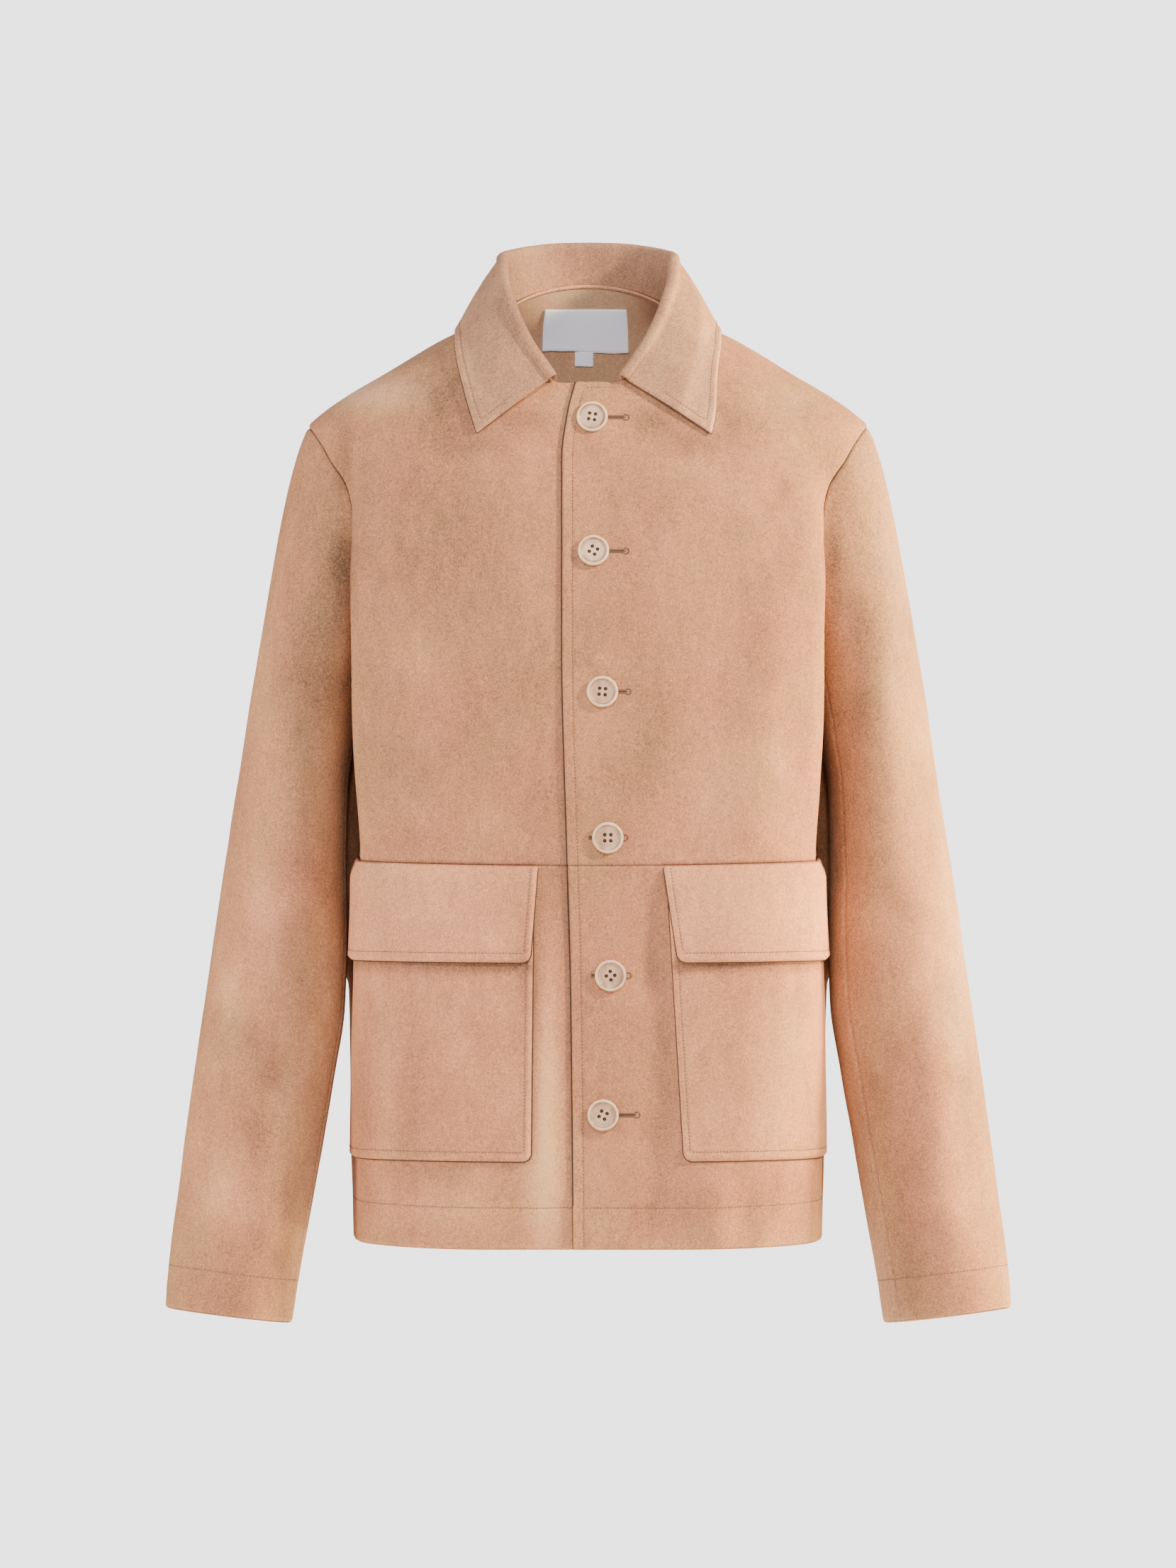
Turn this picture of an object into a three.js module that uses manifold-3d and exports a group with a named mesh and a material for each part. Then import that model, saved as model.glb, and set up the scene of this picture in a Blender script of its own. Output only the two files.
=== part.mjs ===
// A suede shirt jacket, filled out as if worn: two upper and two lower fronts, a one-piece back,
// two set-in sleeves, a point collar, two patch pockets with flaps, six four-hole buttons and
// two blank woven labels. Every cloth piece is a thin curved wall, and the jacket is hollow.
// Units are millimetres. +X is the wearer's left, -Y is the front and +Z is up. The origin lies
// in the middle of the neck, level with the points where the shoulders carry the jacket.
import * as THREE from "three";
import { mergeVertices } from "three/addons/utils/BufferGeometryUtils.js";
import Module from "manifold-3d";

const wasm = await Module();
wasm.setup();

// Cloth
const SUEDE = 1.6; // one layer with its backing
const DOUBLE = 2.4; // two layers bagged out: collar, flaps and pockets
const SEAM_GAP = 0.3;
const HEM_TURN = 30; // depth of the turned-up hem, which doubles the wall
const CUFF_TURN = 31;
const LAY_GAP = 0.8; // between a curved piece and the one it lies on
const SKIN_STEP = 0.02; // arc fraction for slopes on the torso

// Heights of the seams
const HEM_Z = -690; // at the centre front
const HEM_RISE = 6; // the hem is this much higher at the side seams
const WAIST_Z = -409.5;
const WAIST_RISE = 7;
const UNDERARM_Z = -258;
const SHOULDER_Z = -87;
const NECK_SIDE_Z = 4;
const NECK_BACK_Z = 19;
const NECK_FRONT_Z = -54;

// Closure
const COLLAR_END_X = 23; // from the middle to where the collar starts on each side
const UNDERLAP_X = 24; // the right front runs this far past the middle, under the left one
const UNDERLAP_DROP = 2.4; // how far the right front steps in below the left one
const UNDERLAP_HEM_DROP = 4.2; // the same where the left front's hem is double
const UNDERLAP_HEM_FADE = 14; // height over which it comes back to the lesser one
const UNDERLAP_START_X = -62;
const UNDERLAP_FULL_X = -26;

// How many strips each seam is cut into. Pieces that share a seam share its points.
const COUNT = { flatNeck: 2, neckRise: 5, shoulder: 6, sideUpper: 5, armhole: 12 };

// Where the strips of a front lie across it, closer together at its corner, and up its lower part.
const UPPER_SHARES = [0, 0.1, 0.2, 0.3, 0.4, 0.49, 0.57, 0.63, 0.68, 0.725, 0.77, 0.83, 0.91, 1];
const LOWER_SHARES = [0, 0.07, 0.12, 0.165, 0.21, 0.25, 0.3, 0.36, 0.43, 0.5, 0.57, 0.63, 0.69, 0.75, 0.82, 0.9, 1];
const UPWARD_HOLD = 2; // 1 lets the strips of a panel fan out evenly
const SIDE_SHARES = [0, 0.108, 0.122, 0.24, 0.36, 0.48, 0.61, 0.74, 0.87, 1];

// Torso sections: half width at the side, depth to the front and back, how square each half is
// (2 is an ellipse), and how far the fold at the front corner stands out past the armhole.
const TORSO = [
  { z: HEM_Z - 20, half: 172.5, front: 119, back: 108, squareFront: 3.6, squareBack: 3.0, corner: 1, fullness: 2 },
  { z: HEM_Z, half: 172.5, front: 119, back: 108, squareFront: 3.6, squareBack: 3.0, corner: 1, fullness: 2 },
  { z: -620, half: 172.5, front: 119, back: 105, squareFront: 3.7, squareBack: 3.0, corner: 2, fullness: 4 },
  { z: -500, half: 170.5, front: 117, back: 98, squareFront: 3.8, squareBack: 3.0, corner: 3, fullness: 8 },
  { z: -480, half: 170.1, front: 116.6, back: 97.3, squareFront: 3.85, squareBack: 3.0, corner: 3.6, fullness: 14 },
  { z: WAIST_Z, half: 168.5, front: 115, back: 95, squareFront: 4.0, squareBack: 3.0, corner: 6, fullness: 14.5 },
  { z: -350, half: 165.6, front: 116.2, back: 99.6, squareFront: 4.4, squareBack: 3.0, corner: 12.2, fullness: 14.5 },
  { z: -320, half: 164, front: 117, back: 102, squareFront: 4.6, squareBack: 3.0, corner: 15, fullness: 9.5 },
  { z: UNDERARM_Z, half: 161, front: 116, back: 107, squareFront: 5.0, squareBack: 3.0, corner: 18, fullness: 1 },
  { z: -200, half: 164, front: 110, back: 107, squareFront: 5.0, squareBack: 2.9, corner: 16, fullness: 0 },
  { z: -175, half: 166, front: 105, back: 106, squareFront: 4.7, squareBack: 2.8, corner: 14, fullness: 0 },
  { z: -150, half: 173, front: 99, back: 104, squareFront: 3.9, squareBack: 2.7, corner: 10, fullness: 0 },
  { z: -130, half: 185, front: 94, back: 101, squareFront: 3.0, squareBack: 2.6, corner: 3, fullness: 0 },
  { z: -108, half: 203, front: 87, back: 97, squareFront: 2.4, squareBack: 2.4, corner: 0, fullness: 0 },
  { z: SHOULDER_Z, half: 206, front: 80, back: 93, squareFront: 2.3, squareBack: 2.3, corner: 0, fullness: 0 },
  { z: -76, half: 196, front: 77, back: 90, squareFront: 2.2, squareBack: 2.2, corner: 0, fullness: 0 },
  { z: -45, half: 146, front: 64, back: 80, squareFront: 2.2, squareBack: 2.2, corner: 0, fullness: 0 },
  { z: -24, half: 111, front: 56, back: 72, squareFront: 2.2, squareBack: 2.2, corner: 0, fullness: 0 },
  { z: NECK_SIDE_Z, half: 57, front: 49, back: 59, squareFront: 2.2, squareBack: 2.2, corner: 0, fullness: 0 },
  { z: NECK_BACK_Z, half: 46, front: 43, back: 54, squareFront: 2.2, squareBack: 2.2, corner: 0, fullness: 0 },
  { z: 40, half: 40, front: 38, back: 50, squareFront: 2.2, squareBack: 2.2, corner: 0, fullness: 0 },
];
const CORNER_PLACE = 0.71; // where the corner fold lies, as a share of the front's depth
const CORNER_WIDTH = 0.18;
const FULLNESS_PEAK = 45.56; // makes share squared times (1 - share) to the fourth reach 1

// Front neckline, from the side neck point to the collar's end: place round the section and height.
const NECKLINE = [
  { t: 0, across: 1, z: NECK_SIDE_Z },
  { t: 0.2, across: 0.76, z: 1 },
  { t: 0.4, across: 0.56, z: -8 },
  { t: 0.6, across: 0.385, z: -23 },
  { t: 0.8, across: 0.245, z: -40 },
  { t: 1, across: 0.125, z: NECK_FRONT_Z + 0.5 },
];

// The left front's free edge, which laps over the right front.
const FRONT_EDGE = [
  { z: HEM_Z, x: -10 },
  { z: -500, x: -12 },
  { z: WAIST_Z, x: -14.5 },
  { z: -250, x: -18.5 },
  { z: -110, x: -18.5 },
  { z: -75, x: -14 },
  { z: NECK_FRONT_Z, x: -8.6 },
];

// Large soft folds on the torso: a line from one place to another in millimetres round from the
// centre front and up, how wide it is, and how far it stands out (or in, if negative).
const FOLDS = [
  { x0: -31, z0: -425, x1: -36, z1: -700, width: 11, height: 4.5 }, // beside the right pocket
  { x0: -62, z0: -640, x1: -52, z1: -700, width: 20, height: -3 },
  { x0: 46, z0: -415, x1: 52, z1: -700, width: 13, height: -4.5 }, // beside the left pocket
  { x0: 88, z0: -628, x1: 92, z1: -700, width: 20, height: 4.5 },
  { x0: 132, z0: -150, x1: 80, z1: -330, width: 30, height: -3.5 }, // armhole to waist
  { x0: 150, z0: -330, x1: 110, z1: -400, width: 26, height: 3 },
  { x0: -136, z0: -150, x1: -90, z1: -330, width: 32, height: -3.5 },
  { x0: -60, z0: -290, x1: -110, z1: -400, width: 26, height: 2.5 },
  { x0: 345, z0: -300, x1: 372, z1: -560, width: 28, height: -4.5 }, // back, beside each side seam
  { x0: -345, z0: -300, x1: -368, z1: -540, width: 28, height: -4.5 },
  { x0: 425, z0: -430, x1: 440, z1: -700, width: 26, height: 4 },
  { x0: -415, z0: -410, x1: -440, z1: -700, width: 28, height: 4 },
];

// Armhole: how far it is cut forwards and backwards from the shoulder line
const ARMHOLE = { front: 52, back: 58, roundness: 0.85 };

// Sleeve rings below the armhole, as the front view and side view show them.
const SLEEVE = [
  { z: -300, inner: 170, outer: 250, front: -62, back: 74, tilt: 11 },
  { z: -350, inner: 177, outer: 257.5, front: -60, back: 67, tilt: 9 },
  { z: -400, inner: 178, outer: 265.5, front: -58, back: 59, tilt: 8 },
  { z: -450, inner: 177, outer: 273.5, front: -58, back: 51, tilt: 8 },
  { z: -503, inner: 178.5, outer: 281, front: -60, back: 44, tilt: 8 },
  { z: -555, inner: 186.5, outer: 288.5, front: -63, back: 37, tilt: 8 },
  { z: -607, inner: 195.5, outer: 295.5, front: -67, back: 30, tilt: 8 },
  { z: -659, inner: 204.5, outer: 302.5, front: -71, back: 23, tilt: 7.5 },
  { z: -709, inner: 213, outer: 309, front: -75, back: 16, tilt: 7 },
  { z: -740, inner: 217.5, outer: 311.5, front: -77, back: 13, tilt: 7 },
];
const SLEEVE_ROWS = 15; // rings between the end of the sleeve head and the cuff
const HEAD_ROWS = 8; // rings in the sleeve head
const UNDERARM_CLEAR = 1.1; // extra room between the sleeve and the side of the body

// Soft folds round each sleeve: from one place to another, as turns round it from the outer edge
// towards the front and a height, with a width in millimetres and how far they stand out.
const SLEEVE_FOLDS = {
  left: [
    { turn0: 0.05, z0: -330, turn1: 0.3, z1: -470, width: 30, height: -3 },
    { turn0: 0.1, z0: -480, turn1: 0.36, z1: -560, width: 28, height: -3 },
    { turn0: 0.2, z0: -560, turn1: 0.26, z1: -690, width: 26, height: 2.5 },
    { turn0: 0.62, z0: -440, turn1: 0.9, z1: -480, width: 28, height: -3 },
    { turn0: 0.2, z0: -180, turn1: 0.34, z1: -330, width: 26, height: -3 },
  ],
  right: [
    { turn0: 0.1, z0: -500, turn1: 0.36, z1: -575, width: 28, height: -4 },
    { turn0: 0.3, z0: -560, turn1: 0.33, z1: -700, width: 26, height: 3 },
    { turn0: 0.1, z0: -610, turn1: 0.27, z1: -665, width: 26, height: -3 },
    { turn0: 0.62, z0: -450, turn1: 0.9, z1: -490, width: 28, height: -3 },
    { turn0: 0.16, z0: -180, turn1: 0.32, z1: -340, width: 28, height: -3 },
  ],
};
const SLEEVE_GIRTH = 314; // round the forearm, which turns the folds' places into millimetres

// How the sleeve head leaves the armhole, under the arm and at the shoulder point: its direction
// out and down, and how long it keeps to it. Then it runs into the sleeve's own direction.
const HEAD_LEAVES = {
  under: { out: 0.75, down: 0.66, hold: 0.5 },
  top: { out: 0.62, down: 0.78, hold: 0.3 },
};
const SLEEVE_AXIS = { out: 0.16, down: 0.987 };

// Collar, from the centre back (0) to its front end (1): top of the fold and outer edge.
const COLLAR = [
  { k: 0, foldX: 0, foldY: 59, foldZ: 49, edgeX: 0, edgeY: 82, edgeZ: -21 },
  { k: 0.14, foldX: 26, foldY: 55, foldZ: 48.5, edgeX: 38, edgeY: 77, edgeZ: -21 },
  { k: 0.28, foldX: 51, foldY: 38, foldZ: 45.5, edgeX: 73, edgeY: 57, edgeZ: -19 },
  { k: 0.42, foldX: 65, foldY: 9, foldZ: 40.5, edgeX: 94, edgeY: 22, edgeZ: -13 },
  { k: 0.56, foldX: 64, foldY: -20, foldZ: 26, edgeX: 97.5, edgeY: -20, edgeZ: -18 },
  { k: 0.7, foldX: 58, foldY: -44, foldZ: 5, edgeX: 95.5, edgeY: -45, edgeZ: -38 },
  { k: 0.85, foldX: 45.5, foldY: -63, foldZ: -22, edgeX: 89.5, edgeY: -65, edgeZ: -65 },
  { k: 1, foldX: 26.5, foldY: -73, foldZ: -50, edgeX: 81.5, edgeY: -80, edgeZ: -92 },
];
const COLLAR_STRIPS = 16; // along each half
const COLLAR_FOLD = 3.4; // radius of the fold, to the middle of the cloth
const COLLAR_CROWN = 2.2; // how far the fall bellies out
const COLLAR_LIFT = 2.4; // least height of the fall's middle above the fronts and back
const COLLAR_SKEW = 9; // the left leaf's tip lies this much further out than the right one's
const SKEW_START = 0.7; // place along the collar where that begins
const NECK_BACK_SHARE = 0.42; // of each half of the collar lies along the back neckline
const FOLD_DEGREES = [0, 45, 90, 135, 180];
const FALL_SHARES = [0.2, 0.4, 0.6, 0.8, 1];

// Pockets and flaps: inner edge at the top and bottom, on each side of the front.
const FLAP_BOTTOM_Z = -480.5;
const FLAP_RISE = 4; // of the lower edge, at the side seam
const FLAP = {
  right: { topX: -37, bottomX: -42.5 },
  left: { topX: 55.5, bottomX: 66 },
};
const POCKET = {
  right: { topX: -40, bottomX: -42 },
  left: { topX: 58.5, bottomX: 70.5 },
};
const POCKET_TOP = 14; // from the waist seam down to the pocket's mouth
const POCKET_BOTTOM_Z = -626;
const POCKET_RISE = 4;
const POCKET_END = 0.955; // pockets and flaps end just before the side seam
const POCKET_BELLY = 1.8; // how far the empty pocket bellies out in its middle
const FLAP_LIFT = 2.4; // how far the flap's lower edge stands off the pocket
const FLAP_TOP = 1.5; // from the waist seam down to the flap's solid
const FLAP_CLIMB = 0.17; // share of the flap's height in which it climbs over the pocket's mouth
const PATCH_STRIPS = { across: 13, pocketDown: 9, flapDown: 6 };

const BUTTONS = [
  { x: 3, z: -80.5 },
  { x: 4, z: -179 },
  { x: 10.5, z: -282 },
  { x: 14.5, z: -389 },
  { x: 16.5, z: -490 },
  { x: 11, z: -592 },
];
const BUTTON = { radius: 11.5, thick: 3.4, holeRadius: 0.95, holeSpacing: 1.9 };
const BUTTON_PROFILE = [
  { inFromEdge: 11.5, height: 0 },
  { inFromEdge: 2.2, height: 0 },
  { inFromEdge: 0, height: 1.5 },
  { inFromEdge: 0.3, height: 2.9 },
  { inFromEdge: 1, height: 3.4 }, // crest of the rim
  { inFromEdge: 2.2, height: 2.5 },
  { inFromEdge: 11.5, height: 2.3 }, // middle of the dish
];
const BUTTON_SIDES = 16;
const HOLE_SIDES = 6;
const BUTTON_SEAT = 0.4;

const NECK_LABEL = { x0: -34, x1: 30, top: 2.5, bottom: -30.5, thick: 0.8, columns: 8, rows: 3 };
const SIZE_LABEL = { x0: -9.5, x1: 3.5, top: -31.8, bottom: -42, thick: 0.8, columns: 3, rows: 2 };

const SUEDE_COLOUR = 0xcda084;
const COLLAR_COLOUR = 0xd2a68b;
const BUTTON_COLOUR = 0xe0c8b6;
const LABEL_COLOUR = 0xcdced8;

const clamp = THREE.MathUtils.clamp;
const lerp = THREE.MathUtils.lerp;
const radians = THREE.MathUtils.degToRad;
const vec = (x, y, z) => new THREE.Vector3(x, y, z);
const between = (a, b, t) => a.clone().lerp(b, t);
const smoothstep = (x, low, high) => THREE.MathUtils.smoothstep(x, low, high);

// A smooth function through one column of a table, which never overshoots its values.
function column(rows, key, name) {
  const sorted = [...rows].sort((a, b) => a[key] - b[key]);
  const xs = sorted.map((row) => row[key]);
  const ys = sorted.map((row) => row[name]);
  const slopes = xs.slice(1).map((x, i) => (ys[i + 1] - ys[i]) / (x - xs[i]));
  const tangents = xs.map((_, i) => {
    if (i === 0) return slopes[0];
    if (i === xs.length - 1) return slopes[i - 1];
    if (slopes[i - 1] * slopes[i] <= 0) return 0;
    return (2 * slopes[i - 1] * slopes[i]) / (slopes[i - 1] + slopes[i]);
  });
  return (x) => {
    const at = clamp(x, xs[0], xs[xs.length - 1]);
    let i = 0;
    while (i < xs.length - 2 && at > xs[i + 1]) i += 1;
    const width = xs[i + 1] - xs[i];
    const t = (at - xs[i]) / width;
    const t2 = t * t;
    const t3 = t2 * t;
    return (
      (2 * t3 - 3 * t2 + 1) * ys[i] +
      (t3 - 2 * t2 + t) * width * tangents[i] +
      (3 * t2 - 2 * t3) * ys[i + 1] +
      (t3 - t2) * width * tangents[i + 1]
    );
  };
}

const columns = (rows, key, ...names) =>
  Object.fromEntries(names.map((name) => [name, column(rows, key, name)]));

const torso = columns(TORSO, "z", "half", "front", "back", "squareFront", "squareBack", "corner", "fullness");
const neckline = columns(NECKLINE, "t", "across", "z");
const frontEdge = columns(FRONT_EDGE, "z", "x");
const sleeve = columns(SLEEVE, "z", "inner", "outer", "front", "back", "tilt");
const collarLine = columns(COLLAR, "k", "foldX", "foldY", "foldZ", "edgeX", "edgeY", "edgeZ");

// One quarter of a level section, as points with their distance along it. The front quarter
// runs from the centre front to the side, the back one from the side to the centre back.
const QUARTER_STEPS = 60;
const quarters = new Map();
function quarter(z, isBack) {
  const key = z.toFixed(4) + isBack;
  if (quarters.has(key)) return quarters.get(key);
  const half = torso.half(z);
  const depth = isBack ? torso.back(z) : torso.front(z);
  const power = 2 / (isBack ? torso.squareBack(z) : torso.squareFront(z));
  const corner = isBack ? 0 : torso.corner(z);
  const fullness = isBack ? torso.fullness(z) : 0;
  const points = [];
  let length = 0;
  for (let i = 0; i <= QUARTER_STEPS; i++) {
    const angle = ((isBack ? QUARTER_STEPS - i : i) / QUARTER_STEPS) * (Math.PI / 2);
    const forward = Math.cos(angle) ** power;
    const fold = corner * Math.exp(-(((forward - CORNER_PLACE) / CORNER_WIDTH) ** 2));
    const full = fullness * FULLNESS_PEAK * forward ** 2 * (1 - forward) ** 4;
    const x = half * Math.sin(angle) ** power + fold + full;
    const y = depth * forward * (isBack ? 1 : -1);
    if (i > 0) length += Math.hypot(x - points[i - 1].x, y - points[i - 1].y);
    points.push({ x, y, length });
  }
  const made = { points, length };
  quarters.set(key, made);
  return made;
}

// How far a fold moves the cloth at a place given in millimetres round and up.
function foldHeight(folds, x, z) {
  let height = 0;
  for (const fold of folds) {
    const runX = fold.x1 - fold.x0;
    const runZ = fold.z1 - fold.z0;
    const along = ((x - fold.x0) * runX + (z - fold.z0) * runZ) / (runX ** 2 + runZ ** 2);
    const t = clamp(along, 0, 1);
    const away = Math.hypot(x - fold.x0 - t * runX, z - fold.z0 - t * runZ) / fold.width;
    height += fold.height * Math.exp(-away * away) * smoothstep(Math.sin(Math.PI * clamp(t, 0.04, 0.96)), 0, 0.7);
  }
  return height;
}

// The length of cloth round from the centre front to the side, at a height.
const frontLength = (z) => quarter(z, false).length;

// A point on the smooth torso. across is 0 at the centre front, 1 at the side and 2 at the
// centre back, negative on the wearer's right.
function smoothTorso(across, z) {
  const side = across < 0 ? -1 : 1;
  const isBack = Math.abs(across) > 1;
  const { points, length } = quarter(z, isBack);
  const target = (isBack ? Math.abs(across) - 1 : Math.abs(across)) * length;
  let i = 0;
  while (i < points.length - 2 && points[i + 1].length < target) i += 1;
  const a = points[i];
  const b = points[i + 1];
  const t = clamp((target - a.length) / (b.length - a.length), 0, 1);
  return vec(side * lerp(a.x, b.x, t), lerp(a.y, b.y, t), z);
}

// The outward normal of the smooth torso.
function torsoNormal(across, z) {
  const wrap = (w) => (w > 2 ? w - 4 : w < -2 ? w + 4 : w);
  const round = smoothTorso(wrap(across + SKIN_STEP), z).sub(smoothTorso(wrap(across - SKIN_STEP), z));
  const up = smoothTorso(across, z + 1).sub(smoothTorso(across, z - 1));
  return round.cross(up).normalize();
}

// A point on the folded torso, moved out by a distance.
function torsoPoint(across, z, out = 0) {
  const { length } = quarter(z, Math.abs(across) > 1);
  const side = Math.sign(across) || 1;
  const round = Math.abs(across) > 1
    ? side * (frontLength(z) + (Math.abs(across) - 1) * length)
    : across * length;
  const shift = out + foldHeight(FOLDS, round, z);
  return smoothTorso(across, z).addScaledVector(torsoNormal(across, z), shift);
}

// Where round the front a place straight ahead of x lies, at a height.
function acrossAt(x, z) {
  const { points, length } = quarter(z, false);
  let i = 0;
  while (i < points.length - 2 && points[i + 1].x < Math.abs(x)) i += 1;
  const a = points[i];
  const b = points[i + 1];
  const t = clamp((Math.abs(x) - a.x) / (b.x - a.x), 0, 1);
  return (Math.sign(x) * lerp(a.length, b.length, t)) / length;
}

// Where round the section the torso has a depth y, at a height.
function acrossAtDepth(y, z) {
  const isBack = y > 0;
  const { points, length } = quarter(z, isBack);
  let i = 0;
  while (i < points.length - 2 && points[i + 1].y < y) i += 1;
  const a = points[i];
  const b = points[i + 1];
  const t = clamp((y - a.y) / (b.y - a.y), 0, 1);
  return lerp(a.length, b.length, t) / length + (isBack ? 1 : 0);
}

// The armhole, as a place round the section and a height. turn is 0 at the shoulder point,
// 0.25 at the front, 0.5 at the underarm and 0.75 at the back.
function armholePlace(turn) {
  const angle = turn * 2 * Math.PI;
  const middle = (SHOULDER_Z + UNDERARM_Z) / 2;
  const z = middle + ((SHOULDER_Z - UNDERARM_Z) / 2) * Math.cos(angle);
  const reach = Math.abs(Math.sin(angle)) ** ARMHOLE.roundness;
  const isFront = turn > 0 && turn < 0.5;
  if (reach < 1e-6) return { across: 1, z };
  const y = isFront ? -ARMHOLE.front * reach : ARMHOLE.back * reach;
  return { across: acrossAtDepth(y, z), z };
}

// Flat-pattern coordinates, in which a panel is filled in evenly: millimetres round and up.
const patternPoint = ({ across, z }) => ({
  u: Math.abs(across) > 1
    ? Math.sign(across) * (frontLength(z) + (Math.abs(across) - 1) * quarter(z, true).length)
    : across * frontLength(z),
  z,
});
function placeOnTorso({ u, z }) {
  const front = frontLength(z);
  const size = Math.abs(u);
  if (size <= front) return { across: u / front, z };
  return { across: Math.sign(u) * (1 + (size - front) / quarter(z, true).length), z };
}

// Fills a four-sided panel between its edges, each a list of pattern points. The strips keep the
// way they have at the bottom for long, and side edges only draw the strips near them.
function fillPanel(bottom, top, left, right, sideWeight) {
  const last = left.length - 1;
  const wide = bottom.length - 1;
  const corner = (i, j) => (j === 0 ? left : right)[i];
  return left.map((_, i) =>
    bottom.map((__, j) => {
      const s = sideWeight(j / wide);
      const t = (i / last) ** UPWARD_HOLD;
      const blend = (key) =>
        (1 - t) * bottom[j][key] + t * top[j][key] +
        (1 - s) * left[i][key] + s * right[i][key] -
        (1 - t) * ((1 - s) * corner(0, 0)[key] + s * corner(0, 1)[key]) -
        t * ((1 - s) * corner(last, 0)[key] + s * corner(last, 1)[key]);
      return { u: blend("u"), z: blend("z") };
    }),
  );
}

// Draws the edge rows and columns of a grid back from its seams.
function drawBack(grid, gap) {
  const last = grid.length - 1;
  const wide = grid[0].length - 1;
  const pull = (point, towards) => point.addScaledVector(towards.clone().sub(point).normalize(), gap);
  for (let j = 0; j <= wide; j++) {
    pull(grid[0][j], grid[1][j]);
    pull(grid[last][j], grid[last - 1][j]);
  }
  for (let i = 0; i <= last; i++) {
    pull(grid[i][0], grid[i][1]);
    pull(grid[i][wide], grid[i][wide - 1]);
  }
  return grid;
}

// Makes a closed wall from a grid of outer points and the matching inner ones. Each square is
// split along the diagonal that stands further out, as on a rounded surface.
function wall(outer, inner, isTube = false) {
  const rows = outer.length;
  const cols = outer[0].length;
  const splitsForward = (i, j) => {
    const [a, b] = [outer[i][j], outer[i][(j + 1) % cols]];
    const [d, c] = [outer[i + 1][j], outer[i + 1][(j + 1) % cols]];
    const out = a.clone().add(b).add(c).add(d);
    for (const point of [inner[i][j], inner[i][(j + 1) % cols], inner[i + 1][j], inner[i + 1][(j + 1) % cols]]) {
      out.sub(point);
    }
    return a.clone().add(c).sub(b).sub(d).dot(out) >= 0;
  };
  const flat = [...outer.flat(), ...inner.flat()];
  const position = new Float32Array(flat.flatMap((p) => [p.x, p.y, p.z]));
  const index = [];
  const out = (i, j) => i * cols + (j % cols);
  const into = (i, j) => rows * cols + out(i, j);
  const quad = (a, b, c, d) => index.push(a, b, c, a, c, d);
  const square = (isForward, a, b, c, d) => (isForward ? quad(a, b, c, d) : quad(b, c, d, a));
  const strips = isTube ? cols : cols - 1;
  for (let i = 0; i < rows - 1; i++) {
    for (let j = 0; j < strips; j++) {
      const isForward = splitsForward(i, j);
      square(isForward, out(i, j), out(i, j + 1), out(i + 1, j + 1), out(i + 1, j));
      square(isForward, into(i, j), into(i + 1, j), into(i + 1, j + 1), into(i, j + 1));
    }
  }
  for (let j = 0; j < strips; j++) {
    quad(out(0, j + 1), out(0, j), into(0, j), into(0, j + 1));
    quad(out(rows - 1, j), out(rows - 1, j + 1), into(rows - 1, j + 1), into(rows - 1, j));
  }
  for (let i = 0; i < rows - 1 && !isTube; i++) {
    quad(out(i, 0), out(i + 1, 0), into(i + 1, 0), into(i, 0));
    quad(out(i + 1, cols - 1), out(i, cols - 1), into(i, cols - 1), into(i + 1, cols - 1));
  }
  const geometry = new THREE.BufferGeometry();
  geometry.setAttribute("position", new THREE.BufferAttribute(position, 3));
  geometry.setIndex(index);
  geometry.computeVertexNormals();
  return geometry;
}

// Turns a wall's faces round where its grid runs the other way.
function facingOut(geometry) {
  const index = geometry.index.array;
  const p = geometry.attributes.position;
  let volume = 0;
  const corner = (i) => vec(p.getX(index[i]), p.getY(index[i]), p.getZ(index[i]));
  for (let i = 0; i < index.length; i += 3) {
    volume += corner(i).dot(corner(i + 1).cross(corner(i + 2)));
  }
  if (volume < 0) {
    for (let i = 0; i < index.length; i += 3) {
      [index[i + 1], index[i + 2]] = [index[i + 2], index[i + 1]];
    }
  }
  geometry.computeVertexNormals();
  return geometry;
}

// A panel of the torso as a wall. shift moves the cloth out and thick gives its thickness,
// each from a place round the section and a height.
function torsoPanel(pattern, shift = () => 0, thick = () => SUEDE) {
  const places = pattern.map((row) => row.map(placeOnTorso));
  const outer = places.map((row) => row.map(({ across, z }) => torsoPoint(across, z, shift(across, z))));
  const edged = drawBack(outer, SEAM_GAP / 2);
  const inner = edged.map((row, i) =>
    row.map((point, j) => {
      const { across, z } = places[i][j];
      return point.clone().addScaledVector(torsoNormal(across, z), -thick(across, z));
    }),
  );
  return facingOut(wall(edged, inner));
}

const steps = (count) => Array.from({ length: count + 1 }, (_, i) => i / count);

// Heights of the hem and of the waist seam at a place round the body.
const nearSide = (across) => (Math.abs(across) > 1 ? 2 - Math.abs(across) : Math.abs(across));
const hemZ = (across) => HEM_Z + HEM_RISE * smoothstep(nearSide(across), 0.3, 1);
const waistZ = (across) => WAIST_Z + WAIST_RISE * nearSide(across) ** 2;

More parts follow.
